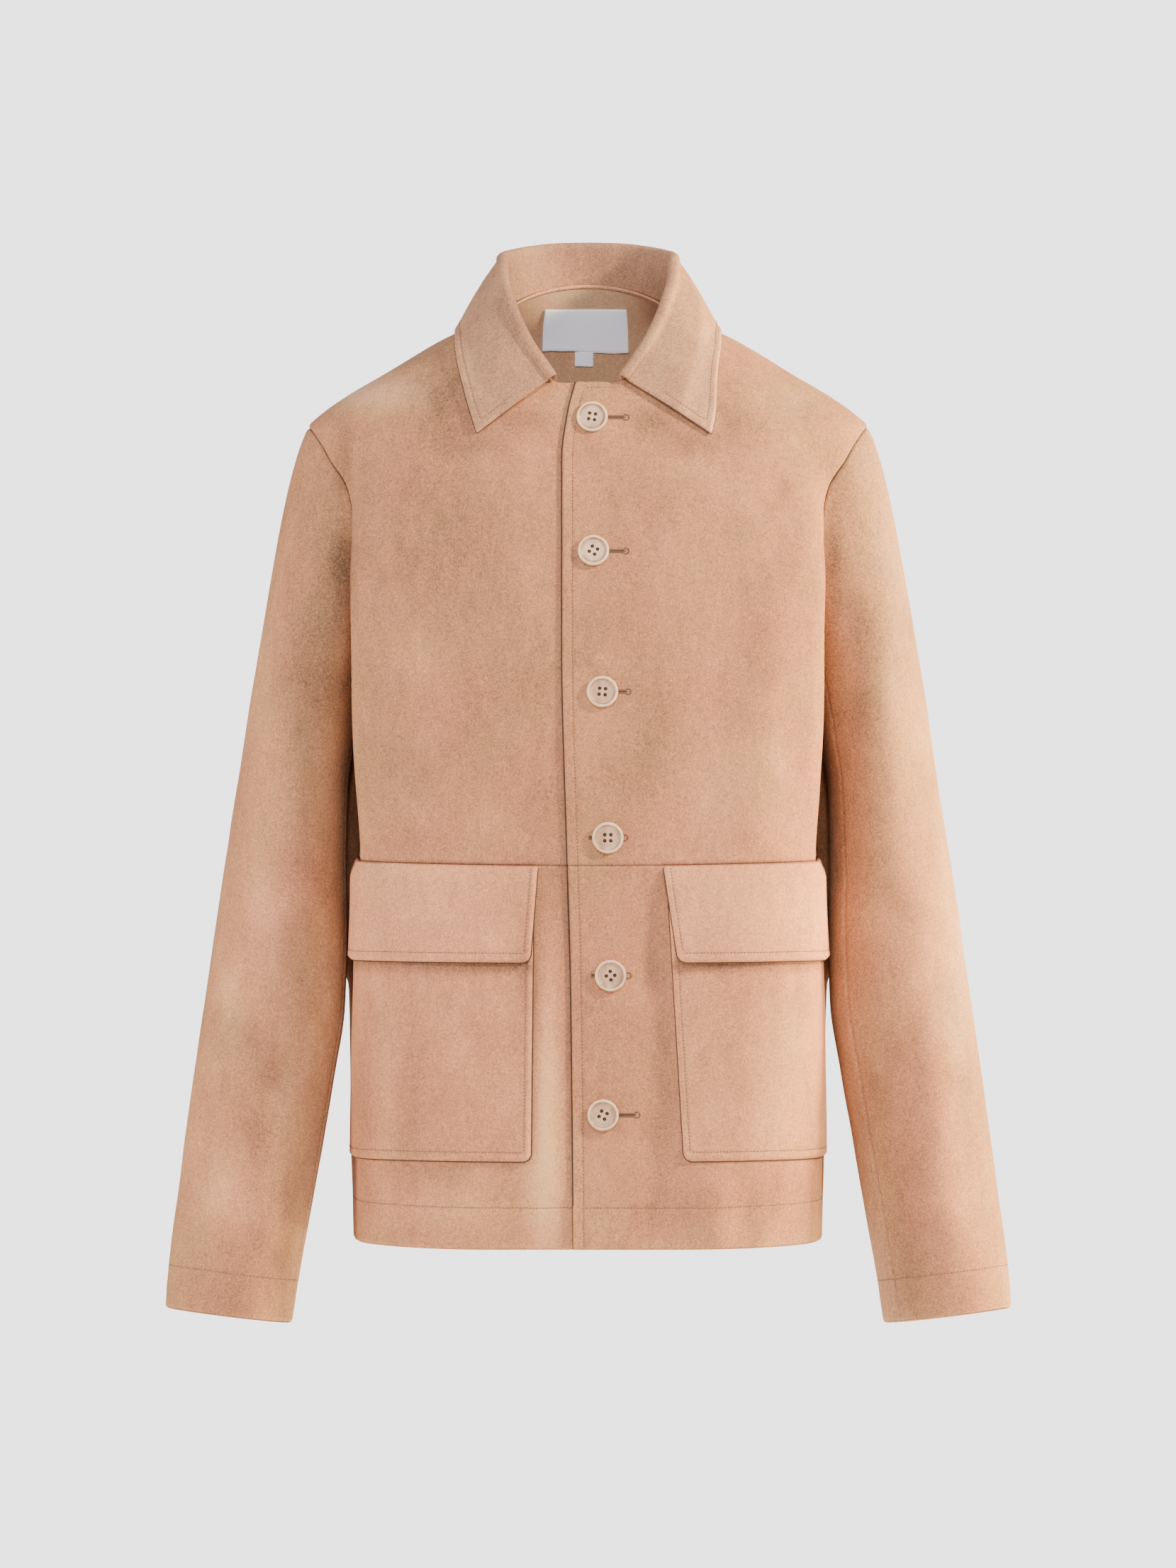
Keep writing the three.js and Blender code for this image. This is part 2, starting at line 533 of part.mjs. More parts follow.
// Seams, each a list of pattern points on the wearer's left from the bottom or middle outwards.
const seam = {
  sideLower: SIDE_SHARES.map((t) => ({ across: 1, z: lerp(hemZ(1), waistZ(1), t) })),
  sideUpper: steps(COUNT.sideUpper).map((t) => ({ across: 1, z: lerp(waistZ(1), UNDERARM_Z, t) })),
  armholeFront: steps(COUNT.armhole).map((t) => armholePlace(0.5 - 0.5 * t)),
  armholeBack: steps(COUNT.armhole).map((t) => armholePlace(t === 0 ? 0.5 : 0.5 + 0.5 * t)),
  shoulder: steps(COUNT.shoulder).map((t) => ({ across: 1, z: lerp(NECK_SIDE_Z, SHOULDER_Z, t) })),
  neckFront: steps(COUNT.neckRise).map((t) => ({ across: neckline.across(1 - t), z: neckline.z(1 - t) })),
  neckBack: steps(COUNT.neckRise).map((t) => backNeck(t)),
};

// The back neckline from the side neck point (0) to the centre back (1).
function backNeck(t) {
  const rise = Math.sin((t * Math.PI) / 2) ** 1.2;
  return { across: 1 + t, z: lerp(NECK_SIDE_Z, NECK_BACK_Z, rise) };
}

const mirrored = (places) => places.map(({ across, z }) => ({ across: -across, z }));
const pattern = (places) => places.map(patternPoint);
const joined = (...lists) => lists.reduce((all, list) => [...all, ...list.slice(1)]);

// The free edge of a front, from a height up to another.
const freeX = (side, z) => (side > 0 ? frontEdge.x(z) : UNDERLAP_X);
function freeEdge(side, from, to, shares) {
  return shares.map((t) => {
    const z = lerp(from, to, t);
    return { across: acrossAt(freeX(side, z), z), z };
  });
}

// How far a front lies outside the torso: the right one steps in where the left one laps over it.
const frontShift = (side) => (across, z) => {
  if (side > 0) return 0;
  const x = smoothTorso(across, z).x;
  const hemTop = HEM_Z + HEM_TURN;
  const hem = smoothstep(-z, -(hemTop + UNDERLAP_HEM_FADE), -hemTop);
  const drop = lerp(UNDERLAP_DROP, UNDERLAP_HEM_DROP, hem);
  return -drop * smoothstep(x, UNDERLAP_START_X, UNDERLAP_FULL_X);
};

// The turned-up hem is two layers thick.
const hemThick = (across, z) => (z < hemZ(across) + HEM_TURN + 1 ? 2 * SUEDE : SUEDE);

// The line where an upper and a lower front meet, or the hem, from the free edge to the side.
function crossSeam(side, heightAt, shares) {
  const start = acrossAt(freeX(side, heightAt(0)), heightAt(0));
  return shares.map((t) => {
    const across = lerp(start, side, t);
    return { across, z: heightAt(across) };
  });
}

// The neck and shoulder edge of a front, from the free edge to the shoulder point.
function frontTop(side) {
  const flip = side > 0 ? (list) => list : mirrored;
  const edgeX = side > 0 ? frontEdge.x(NECK_FRONT_Z) : UNDERLAP_X;
  const endAcross = side * neckline.across(1);
  const startAcross = acrossAt(edgeX, NECK_FRONT_Z);
  const flat = steps(COUNT.flatNeck).map((t) => ({
    across: lerp(startAcross, endAcross, t),
    z: lerp(NECK_FRONT_Z, neckline.z(1), t),
  }));
  return pattern(joined(flat, flip(seam.neckFront), flip(seam.shoulder)));
}

function upperFront(side) {
  const flip = side > 0 ? (list) => list : mirrored;
  const outerEdge = pattern(joined(flip(seam.sideUpper), flip(seam.armholeFront)));
  const edge = pattern(freeEdge(side, WAIST_Z, NECK_FRONT_Z, steps(outerEdge.length - 1)));
  const waist = pattern(crossSeam(side, waistZ, UPPER_SHARES));
  return torsoPanel(fillPanel(waist, frontTop(side), edge, outerEdge, (s) => s ** 3), frontShift(side));
}

function lowerFront(side) {
  const flip = side > 0 ? (list) => list : mirrored;
  const outerEdge = pattern(flip(seam.sideLower));
  const edge = pattern(freeEdge(side, HEM_Z, WAIST_Z, SIDE_SHARES));
  const hem = pattern(crossSeam(side, hemZ, LOWER_SHARES));
  const waist = pattern(crossSeam(side, waistZ, LOWER_SHARES));
  return torsoPanel(fillPanel(hem, waist, edge, outerEdge, (s) => s), frontShift(side), hemThick);
}

// The back is one piece, drawn in pattern coordinates measured from the centre back.
function back() {
  const fromCentre = ({ across, z }) => {
    const backPart = quarter(z, true).length;
    const size = Math.abs(across);
    const u = size > 1 ? (2 - size) * backPart : backPart + (1 - size) * frontLength(z);
    return { u: Math.sign(across) * u, z };
  };
  const flip = (list) => list.map(({ u, z }) => ({ u: -u, z }));
  const right = joined(seam.sideLower, seam.sideUpper, seam.armholeBack).map(fromCentre);
  const topRight = joined([...seam.neckBack].reverse(), seam.shoulder).map(fromCentre);
  const top = joined([...flip(topRight)].reverse(), topRight);
  const hem = steps(top.length - 1).map((t) => {
    const fromBack = 2 * t - 1;
    const across = (fromBack < 0 ? -1 : 1) * (2 - Math.abs(fromBack));
    return fromCentre({ across, z: hemZ(across) });
  });
  const drawnBySide = (s) => 0.5 + 0.5 * Math.sign(s - 0.5) * Math.abs(2 * s - 1) ** 3;
  const filled = fillPanel(hem, top, flip(right), right, drawnBySide).map((row) =>
    row.map(({ u, z }) => {
      const backPart = quarter(z, true).length;
      const size = Math.abs(u);
      const across = size <= backPart ? 2 - size / backPart : 1 - (size - backPart) / frontLength(z);
      return patternPoint({ across: (u < 0 ? -1 : 1) * across, z });
    }),
  );
  return torsoPanel(filled, () => 0, hemThick);
}

// A point on a sleeve of the wearer's left, on the ring whose middle is at height z.
function sleevePoint(turn, z) {
  const inner = sleeve.inner(z);
  const outer = sleeve.outer(z);
  const front = sleeve.front(z);
  const rear = sleeve.back(z);
  const angle = turn * 2 * Math.PI;
  const middleX = (inner + outer) / 2;
  const x = middleX + ((outer - inner) / 2) * Math.cos(angle);
  const y = (front + rear) / 2 - ((rear - front) / 2) * Math.sin(angle);
  return vec(x, y, z + (x - middleX) * Math.tan(radians(sleeve.tilt(z))));
}

// The sleeve head: a curve from the armhole to the first ring, for one place round the sleeve.
function sleeveHeadPoint(turn, t) {
  const place = armholePlace(turn);
  const top = (1 + Math.cos(turn * 2 * Math.PI)) / 2;
  const leaves = (key) => lerp(HEAD_LEAVES.under[key], HEAD_LEAVES.top[key], top);
  const leave = vec(leaves("out"), 0, -leaves("down")).normalize();
  const clear = lerp(UNDERARM_CLEAR, SEAM_GAP, Math.sqrt(top));
  const start = torsoPoint(place.across, place.z).addScaledVector(leave, SEAM_GAP / 2)
    .add(vec(clear - SEAM_GAP / 2, 0, 0));
  const end = sleevePoint(turn, SLEEVE[0].z);
  const axis = vec(SLEEVE_AXIS.out, 0, -SLEEVE_AXIS.down);
  const span = start.distanceTo(end);
  const pull = leaves("hold") * span;
  const t2 = t * t;
  const t3 = t2 * t;
  return vec(0, 0, 0)
    .addScaledVector(start, 2 * t3 - 3 * t2 + 1)
    .addScaledVector(leave, (t3 - 2 * t2 + t) * pull)
    .addScaledVector(end, 3 * t2 - 2 * t3)
    .addScaledVector(axis, (t3 - t2) * span);
}

// Normals of a tube's grid, from its neighbours.
function tubeNormals(grid) {
  const cols = grid[0].length;
  return grid.map((row, i) =>
    row.map((_, j) => {
      const round = row[(j + 1) % cols].clone().sub(row[(j + cols - 1) % cols]);
      const down = grid[Math.min(i + 1, grid.length - 1)][j].clone().sub(grid[Math.max(i - 1, 0)][j]);
      return round.cross(down).normalize();
    }),
  );
}

function sleeveTube(side) {
  const turns = steps(2 * COUNT.armhole).slice(0, -1);
  const cuffZ = SLEEVE[SLEEVE.length - 1].z;
  const head = steps(HEAD_ROWS).slice(0, -1).map((t) => turns.map((turn) => sleeveHeadPoint(turn, t)));
  const levels = steps(SLEEVE_ROWS).map((t) => lerp(SLEEVE[0].z, cuffZ, t));
  const smooth = [...head, ...levels.map((z) => turns.map((turn) => sleevePoint(turn, z)))];
  const normals = tubeNormals(smooth);
  const outwards = Math.sign(normals[HEAD_ROWS][0].x);
  const wrapped = (side > 0 ? SLEEVE_FOLDS.left : SLEEVE_FOLDS.right).map((fold) => ({
    x0: fold.turn0 * SLEEVE_GIRTH,
    x1: fold.turn1 * SLEEVE_GIRTH,
    z0: fold.z0,
    z1: fold.z1,
    width: fold.width,
    height: fold.height,
  }));
  const outer = smooth.map((row, i) =>
    row.map((point, j) => {
      const height = i === 0 ? 0 : foldHeight(wrapped, turns[j] * SLEEVE_GIRTH, point.z);
      return point.clone().addScaledVector(normals[i][j], outwards * height);
    }),
  );
  const inner = outer.map((row, i) =>
    row.map((point, j) => {
      const z = i < HEAD_ROWS ? 0 : levels[i - HEAD_ROWS];
      const thick = z < cuffZ + CUFF_TURN ? 2 * SUEDE : SUEDE;
      return point.clone().addScaledVector(normals[i][j], -outwards * thick);
    }),
  );
  const geometry = wall(outer, inner, true);
  if (side < 0) geometry.scale(-1, 1, 1);
  return facingOut(geometry);
}

// The whole neckline, k from -1 at the right collar end through 0 at the back to 1 at the left.
function necklinePlace(k) {
  const size = Math.abs(k);
  const sign = k < 0 ? -1 : 1;
  if (size < NECK_BACK_SHARE) {
    const { across, z } = backNeck(1 - size / NECK_BACK_SHARE);
    return { across: sign * across, z };
  }
  const t = (size - NECK_BACK_SHARE) / (1 - NECK_BACK_SHARE);
  return { across: sign * neckline.across(t), z: neckline.z(t) };
}

// How far a point stands outside the torso, and the way straight out there.
function clearanceFromTorso(point) {
  const value = (x, y, z) => {
    const isBack = y > 0;
    const depth = isBack ? torso.back(z) : torso.front(z);
    const power = isBack ? torso.squareBack(z) : torso.squareFront(z);
    return (Math.abs(x) / torso.half(z)) ** power + (Math.abs(y) / depth) ** power - 1;
  };
  const h = 0.5;
  const { x, y, z } = point;
  const slope = vec(
    value(x + h, y, z) - value(x - h, y, z),
    value(x, y + h, z) - value(x, y - h, z),
    value(x, y, z + h) - value(x, y, z - h),
  ).divideScalar(2 * h);
  const size = slope.length();
  return { distance: value(x, y, z) / size, out: slope.divideScalar(size) };
}

// Lifts a point of the collar's fall until it clears the body by COLLAR_LIFT.
function liftedClear(point) {
  const lifted = point.clone();
  for (let i = 0; i < 4; i++) {
    const { distance, out } = clearanceFromTorso(lifted);
    const need = COLLAR_LIFT - distance;
    if (need > 0) lifted.addScaledVector(out, need);
  }
  return lifted;
}

function collarMiddle() {
  const stations = steps(2 * COLLAR_STRIPS).map((t) => 2 * t - 1);
  const sign = (k) => (k < 0 ? -1 : 1);
  const point = (k, part) => {
    const size = Math.abs(k);
    const skew = part === "edge" && k > 0 ? COLLAR_SKEW * smoothstep(size, SKEW_START, 1) : 0;
    return vec(
      sign(k) * collarLine[part + "X"](size) + skew,
      collarLine[part + "Y"](size),
      collarLine[part + "Z"](size),
    );
  };
  return stations.map((k) => {
    const place = necklinePlace(k);
    const seamPoint = torsoPoint(place.across, place.z, -SUEDE / 2);
    const fold = point(k, "fold");
    const edge = point(k, "edge");
    const [next, previous] = [Math.min(k + SKIN_STEP, 1), Math.max(k - SKIN_STEP, -1)];
    const along = point(next, "fold").sub(point(previous, "fold")).normalize();
    const outward = edge.clone().sub(seamPoint);
    outward.addScaledVector(along, -outward.dot(along)).normalize();
    const upward = along.clone().cross(outward).normalize();
    if (upward.z < 0) upward.negate();
    const centre = fold.clone().addScaledVector(upward, -COLLAR_FOLD);
    const inside = centre.clone().addScaledVector(outward, -COLLAR_FOLD);
    const rise = inside.clone().sub(seamPoint).normalize();
    const clear = SEAM_GAP + DOUBLE / 2;
    const start = seamPoint.clone().addScaledVector(rise, clear);
    const arc = FOLD_DEGREES.map((degrees) =>
      centre.clone()
        .addScaledVector(outward, -COLLAR_FOLD * Math.cos(radians(degrees)))
        .addScaledVector(upward, COLLAR_FOLD * Math.sin(radians(degrees))));
    const fallStart = arc[arc.length - 1];
    const fall = FALL_SHARES.map((t) => {
      const straight = between(fallStart, edge, t);
      const crown = straight.addScaledVector(upward, COLLAR_CROWN * Math.sin(Math.PI * t));
      return liftedClear(crown);
    });
    return [start, between(start, arc[0], 0.5), ...arc, ...fall];
  });
}

// Normals of an open grid, from its neighbours.
function gridNormals(grid) {
  const last = grid.length - 1;
  const wide = grid[0].length - 1;
  return grid.map((row, i) =>
    row.map((_, j) => {
      const a = row[Math.min(j + 1, wide)].clone().sub(row[Math.max(j - 1, 0)]);
      const b = grid[Math.min(i + 1, last)][j].clone().sub(grid[Math.max(i - 1, 0)][j]);
      return a.cross(b).normalize();
    }),
  );
}

function collar() {
  const middle = collarMiddle();
  const normals = gridNormals(middle);
  const shifted = (amount) =>
    middle.map((row, i) => row.map((point, j) => point.clone().addScaledVector(normals[i][j], amount)));
  return facingOut(wall(shifted(DOUBLE / 2), shifted(-DOUBLE / 2)));
}

// A patch that lies on a front: from its inner edge to just before the side seam, between two
// heights. lift gives the height of its inner face over the front, from shares across and down.
function patch(side, topAt, bottomAt, sizes, rows, cols, lift) {
  const grid = (extra) =>
    steps(rows).map((down) =>
      steps(cols).map((t) => {
        const level = lerp(topAt(0), bottomAt(0), down);
        const start = acrossAt(lerp(sizes.topX, sizes.bottomX, down), level);
        const across = lerp(start, side * POCKET_END, t);
        return torsoPoint(across, lerp(topAt(across), bottomAt(across), down), lift(t, down) + extra);
      }),
    );
  return facingOut(wall(grid(DOUBLE), grid(0)));
}

const pocketBelly = (t, down) => POCKET_BELLY * Math.sin(Math.PI * t) * smoothstep(1 - down, 0, 0.5);

function pocket(side, sizes) {
  const topAt = (across) => waistZ(across) - POCKET_TOP;
  const bottomAt = (across) => POCKET_BOTTOM_Z + POCKET_RISE * across ** 2;
  const lift = (t, down) => LAY_GAP + pocketBelly(t, down);
  return patch(side, topAt, bottomAt, sizes, PATCH_STRIPS.pocketDown, PATCH_STRIPS.across, lift);
}

function flap(side, sizes) {
  const topAt = (across) => waistZ(across) - FLAP_TOP;
  const bottomAt = (across) => FLAP_BOTTOM_Z + FLAP_RISE * across ** 2;
  const lift = (t, down) => {
    const overPocket = LAY_GAP + pocketBelly(t, 0) + DOUBLE + LAY_GAP;
    const stand = FLAP_LIFT * down ** 2 * (1 - t ** 3);
    return lerp(LAY_GAP, overPocket, smoothstep(down, 0, FLAP_CLIMB)) + stand;
  };
  return patch(side, topAt, bottomAt, sizes, PATCH_STRIPS.flapDown, PATCH_STRIPS.across, lift);
}

// A closed mesh as a solid that can be cut.
function solidOf(geometry) {
  const bare = geometry.clone();
  bare.deleteAttribute("normal");
  bare.deleteAttribute("uv");
  const merged = mergeVertices(bare, 1e-4);
  return new wasm.Manifold(new wasm.Mesh({
    numProp: 3,
    vertProperties: merged.attributes.position.array,
    triVerts: new Uint32Array(merged.index.array),
  }));
}

function geometryOf(solid) {
  const mesh = solid.getMesh();
  const geometry = new THREE.BufferGeometry();
  geometry.setAttribute("position", new THREE.BufferAttribute(new Float32Array(mesh.vertProperties), 3));
  geometry.setIndex(new THREE.BufferAttribute(new Uint32Array(mesh.triVerts), 1));
  geometry.computeVertexNormals();
  return geometry;
}

// A dished button with a raised rim and four holes, its back at height 0 and its face up +Y.
function buttonShape() {
  const { radius, thick, holeRadius, holeSpacing } = BUTTON;
  const profile = BUTTON_PROFILE.map(({ inFromEdge, height }) => new THREE.Vector2(radius - inFromEdge, height));
  let solid = solidOf(new THREE.LatheGeometry(profile, BUTTON_SIDES));
  for (const [x, z] of [[1, 1], [1, -1], [-1, 1], [-1, -1]]) {
    const drill = new THREE.CylinderGeometry(holeRadius, holeRadius, 3 * thick, HOLE_SIDES);
    drill.translate(x * holeSpacing, 0, z * holeSpacing);
    solid = solid.subtract(solidOf(drill));
  }
  return geometryOf(solid);
}

// Puts a button on the left front, facing out.
function placeButton(mesh, { x, z }) {
  const across = acrossAt(x, z);
  const out = torsoNormal(across, z);
  mesh.position.copy(torsoPoint(across, z, BUTTON_SEAT));
  mesh.quaternion.setFromUnitVectors(vec(0, 1, 0), out);
  return mesh;
}

// A woven label on the inside of the back.
function label({ x0, x1, top, bottom, thick, columns: cols, rows }) {
  const depth = SUEDE + LAY_GAP;
  const grid = (out) =>
    steps(rows).map((down) =>
      steps(cols).map((t) => {
        const z = lerp(top, bottom, down);
        const length = quarter(z, true).length;
        const x = lerp(x0, x1, t);
        const across = x < 0 ? -2 - x / length : 2 - x / length;
        return torsoPoint(across, z, -out);
      }),
    );
  return facingOut(wall(grid(depth), grid(depth + thick)));
}

const material = (color, roughness) => new THREE.MeshStandardMaterial({ color, roughness, metalness: 0 });
const suede = material(SUEDE_COLOUR, 0.95);
const collarSuede = material(COLLAR_COLOUR, 0.95);
const horn = material(BUTTON_COLOUR, 0.35);
const woven = material(LABEL_COLOUR, 0.7);

const jacket = new THREE.Group();
function add(name, geometry, finish) {
  const mesh = new THREE.Mesh(geometry, finish);
  mesh.name = name;
  jacket.add(mesh);
  return mesh;
}

add("back", back(), suede);
add("front_left_upper", upperFront(1), suede);
add("front_left_lower", lowerFront(1), suede);
add("front_right_upper", upperFront(-1), suede);
add("front_right_lower", lowerFront(-1), suede);
add("sleeve_left", sleeveTube(1), suede);
add("sleeve_right", sleeveTube(-1), suede);
add("collar", collar(), collarSuede);
add("pocket_left", pocket(1, POCKET.left), suede);
add("pocket_right", pocket(-1, POCKET.right), suede);
add("flap_left", flap(1, FLAP.left), suede);
add("flap_right", flap(-1, FLAP.right), suede);
const buttonGeometry = buttonShape();
BUTTONS.forEach((place, i) => placeButton(add("button_" + (i + 1), buttonGeometry, horn), place));
add("neck_label", label(NECK_LABEL), woven);
add("size_label", label(SIZE_LABEL), woven);

export default jacket;
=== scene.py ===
"""A tan suede jacket, filled out with no wearer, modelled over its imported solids.

The form is worked out in millimetres from the same sizes as the solids, at a finer step, with
rolled edges, topstitching, creases and nap, and the meshes are placed in metres.
"""

import math

import bpy
import numpy as np
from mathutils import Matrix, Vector


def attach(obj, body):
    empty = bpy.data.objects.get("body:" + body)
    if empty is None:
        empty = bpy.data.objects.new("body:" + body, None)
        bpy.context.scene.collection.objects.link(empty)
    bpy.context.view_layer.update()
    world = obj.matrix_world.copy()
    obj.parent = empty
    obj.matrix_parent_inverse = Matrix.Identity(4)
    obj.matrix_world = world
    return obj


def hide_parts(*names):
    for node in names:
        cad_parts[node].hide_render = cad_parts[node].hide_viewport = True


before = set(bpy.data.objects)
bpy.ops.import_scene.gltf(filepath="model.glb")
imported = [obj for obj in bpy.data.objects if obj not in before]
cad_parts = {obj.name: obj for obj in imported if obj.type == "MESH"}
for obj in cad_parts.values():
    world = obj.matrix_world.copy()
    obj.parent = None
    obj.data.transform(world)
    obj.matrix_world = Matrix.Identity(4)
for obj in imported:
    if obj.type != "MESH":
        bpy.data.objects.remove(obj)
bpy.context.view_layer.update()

MM = 0.001
SIDES = {1: "left", -1: "right"}

# Cloth
SUEDE = 1.6
DOUBLE = 2.4
SEAM_GAP = 0.16
LAY_GAP = 0.8
HEM_TURN = 30

# Heights
HEM_Z = -690
HEM_RISE = 6
WAIST_Z = -409.5
WAIST_RISE = 7
UNDERARM_Z = -258
SHOULDER_Z = -87
NECK_SIDE_Z = 4
NECK_BACK_Z = 19
NECK_FRONT_Z = -54

# Closure
UNDERLAP_X = 24
UNDERLAP_DROP = 2.4
UNDERLAP_HEM_DROP = 4.2
UNDERLAP_START_X = -62
UNDERLAP_FULL_X = -26

UPPER_SHARES = [0, 0.1, 0.2, 0.3, 0.4, 0.49, 0.57, 0.63, 0.68, 0.725, 0.77, 0.83, 0.91, 1]
TOP_STRIPS = {"flat": 2, "neck": 5, "shoulder": 6}
EDGE_STRIPS = {"side": 5, "armhole": 12}
UPWARD_HOLD = 2


def table(names, rows):
    """Named columns from rows, in the order of the first column."""
    values = np.array(sorted(rows), dtype=float)
    return {name: values[:, i] for i, name in enumerate(names.split())}


def hermite(start, leaving, end, arriving, t):
    """A cubic between two values, with the slopes it leaves and arrives with."""
    return (
        (2 * t**3 - 3 * t**2 + 1) * start
        + (t**3 - 2 * t**2 + t) * leaving
        + (3 * t**2 - 2 * t**3) * end
        + (t**3 - t**2) * arriving
    )


def smooth_column(columns, key, name):
    """A smooth function through one column of a table, which never overshoots its values."""
    xs, ys = columns[key], columns[name]
    slopes = np.diff(ys) / np.diff(xs)
    tangents = np.concatenate([slopes[:1], np.zeros(len(xs) - 2), slopes[-1:]])
    product = slopes[:-1] * slopes[1:]
    total = np.where(product > 0, slopes[:-1] + slopes[1:], 1)
    tangents[1:-1] = np.where(product > 0, 2 * product / total, 0)

    def value(x):
        x = np.clip(x, xs[0], xs[-1])
        i = np.clip(np.searchsorted(xs, x, side="right") - 1, 0, len(xs) - 2)
        width = xs[i + 1] - xs[i]
        return hermite(ys[i], width * tangents[i], ys[i + 1], width * tangents[i + 1], (x - xs[i]) / width)

    return value


def columns_of(columns, key):
    return {name: smooth_column(columns, key, name) for name in columns if name != key}


def lerp(a, b, t):
    return a + (b - a) * t


def smoothstep(x, low, high):
    t = np.clip((x - low) / (high - low), 0, 1)
    return t * t * (3 - 2 * t)


def bump(distance, width):
    """A soft ridge of height 1 at distance 0."""
    return np.exp(-((distance / width) ** 2))


def normalized(v):
    return v / np.maximum(np.linalg.norm(v, axis=-1, keepdims=True), 1e-9)


# The torso's sections: half width, depths, squareness of each half, the front corner's fold, and
# how far the back stands out behind the side seam.
torso = columns_of(table("z half front back square_front square_back corner fullness", [
    (HEM_Z - 20, 172.5, 119, 108, 3.6, 3.0, 1, 2),
    (HEM_Z, 172.5, 119, 108, 3.6, 3.0, 1, 2),
    (-620, 172.5, 119, 105, 3.7, 3.0, 2, 4),
    (-500, 170.5, 117, 98, 3.8, 3.0, 3, 8),
    (-480, 170.1, 116.6, 97.3, 3.85, 3.0, 3.6, 14),
    (WAIST_Z, 168.5, 115, 95, 4.0, 3.0, 6, 14.5),
    (-350, 165.6, 116.2, 99.6, 4.4, 3.0, 12.2, 14.5),
    (-320, 164, 117, 102, 4.6, 3.0, 15, 12.5),
    (UNDERARM_Z, 161, 116, 107, 5.0, 3.0, 18, 3),
    (-200, 164, 110, 107, 5.0, 2.9, 16, 0),
    (-175, 166, 105, 106, 4.7, 2.8, 14, 0),
    (-150, 173, 99, 104, 3.9, 2.7, 10, 0),
    (-130, 185, 94, 101, 3.0, 2.6, 3, 0),
    (-108, 203, 87, 97, 2.4, 2.4, 0, 0),
    (SHOULDER_Z, 206, 80, 93, 2.3, 2.3, 0, 0),
    (-76, 196, 77, 90, 2.2, 2.2, 0, 0),
    (-45, 146, 64, 80, 2.2, 2.2, 0, 0),
    (-24, 111, 56, 72, 2.2, 2.2, 0, 0),
    (NECK_SIDE_Z, 57, 49, 59, 2.2, 2.2, 0, 0),
    (NECK_BACK_Z, 46, 43, 54, 2.2, 2.2, 0, 0),
    (40, 40, 38, 50, 2.2, 2.2, 0, 0),
]), "z")
CORNER_PLACE = 0.71
CORNER_WIDTH = 0.18
FULLNESS_PEAK = 45.56

neckline = columns_of(table("t across z", [
    (0, 1, NECK_SIDE_Z),
    (0.2, 0.76, 1),
    (0.4, 0.56, -8),
    (0.6, 0.385, -23),
    (0.8, 0.245, -40),
    (1, 0.125, NECK_FRONT_Z + 0.5),
]), "t")

front_edge = columns_of(table("z x", [
    (HEM_Z, -10),
    (-500, -12),
    (WAIST_Z, -14.5),
    (-250, -18.5),
    (-110, -18.5),
    (-75, -14),
    (NECK_FRONT_Z, -8.6),
]), "z")

# Large folds and finer creases: a line from one place to another in millimetres round from the
# centre front and up, its width, and how far it stands out.
TORSO_FOLDS = [
    (-31, -425, -36, -700, 11, 4.5),
    (-62, -640, -52, -700, 20, -3),
    (46, -415, 52, -700, 13, -4.5),
    (88, -628, 92, -700, 20, 4.5),
    (132, -150, 80, -330, 30, -3.5),
    (150, -330, 110, -400, 26, 3),
    (-136, -150, -90, -330, 32, -3.5),
    (-60, -290, -110, -400, 26, 2.5),
    (345, -300, 372, -560, 28, -4.5),
    (-345, -300, -368, -540, 28, -4.5),
    (425, -430, 440, -700, 26, 4),
    (-415, -410, -440, -700, 28, 4),
]
TORSO_CREASES = [
    (150, -128, 118, -150, 9, -1.6),
    (158, -150, 128, -185, 11, -1.2),
    (-152, -126, -116, -146, 9, -1.6),
    (-160, -152, -130, -190, 11, -1.2),
    (34, -276, 62, -330, 12, -1.1),
    (40, -300, 52, -372, 9, 0.8),
    (-48, -240, -76, -300, 16, -0.9),
    (-34, -330, -66, -395, 13, -0.8),
    (90, -235, 118, -300, 18, -0.9),
    (142, -262, 160, -345, 13, -1.0),
    (-146, -262, -162, -350, 13, -1.0),
    (28, -440, 34, -560, 9, -0.9),
    (70, -640, 72, -700, 9, -1.4),
    (112, -634, 116, -700, 13, -1.3),
    (-100, -636, -96, -700, 15, 1.2),
    (-150, -640, -148, -700, 12, -1.1),
    (330, -180, 400, -215, 22, -1.6),
    (-330, -180, -395, -225, 22, -1.6),
    (360, -262, 420, -285, 20, 1.2),
    (-350, -270, -430, -280, 20, 1.2),
    (470, -40, 475, -120, 24, -1.0),
    (-470, -60, -468, -150, 24, 0.9),
    (350, -420, 372, -600, 16, 1.4),
    (-352, -440, -380, -620, 18, -1.3),
]

sleeve = columns_of(table("z inner outer front back tilt", [
    (-300, 170, 250, -62, 74, 11),
    (-350, 177, 257.5, -60, 67, 9),
    (-400, 178, 265.5, -58, 59, 8),
    (-450, 177, 273.5, -58, 51, 8),
    (-503, 178.5, 281, -60, 44, 8),
    (-555, 186.5, 288.5, -63, 37, 8),
    (-607, 195.5, 295.5, -67, 30, 8),
    (-659, 204.5, 302.5, -71, 23, 7.5),
    (-709, 213, 309, -75, 16, 7),
    (-740, 217.5, 311.5, -77, 13, 7),
]), "z")
SLEEVE_TOP_Z = -300
CUFF_Z = -740
SLEEVE_GIRTH = 314
SLEEVE_SEAM_TURN = {"left": 0.385, "right": 0.455}
UNDERARM_CLEAR = 1.1
ARMHOLE = {"front": 52, "back": 58, "roundness": 0.85}

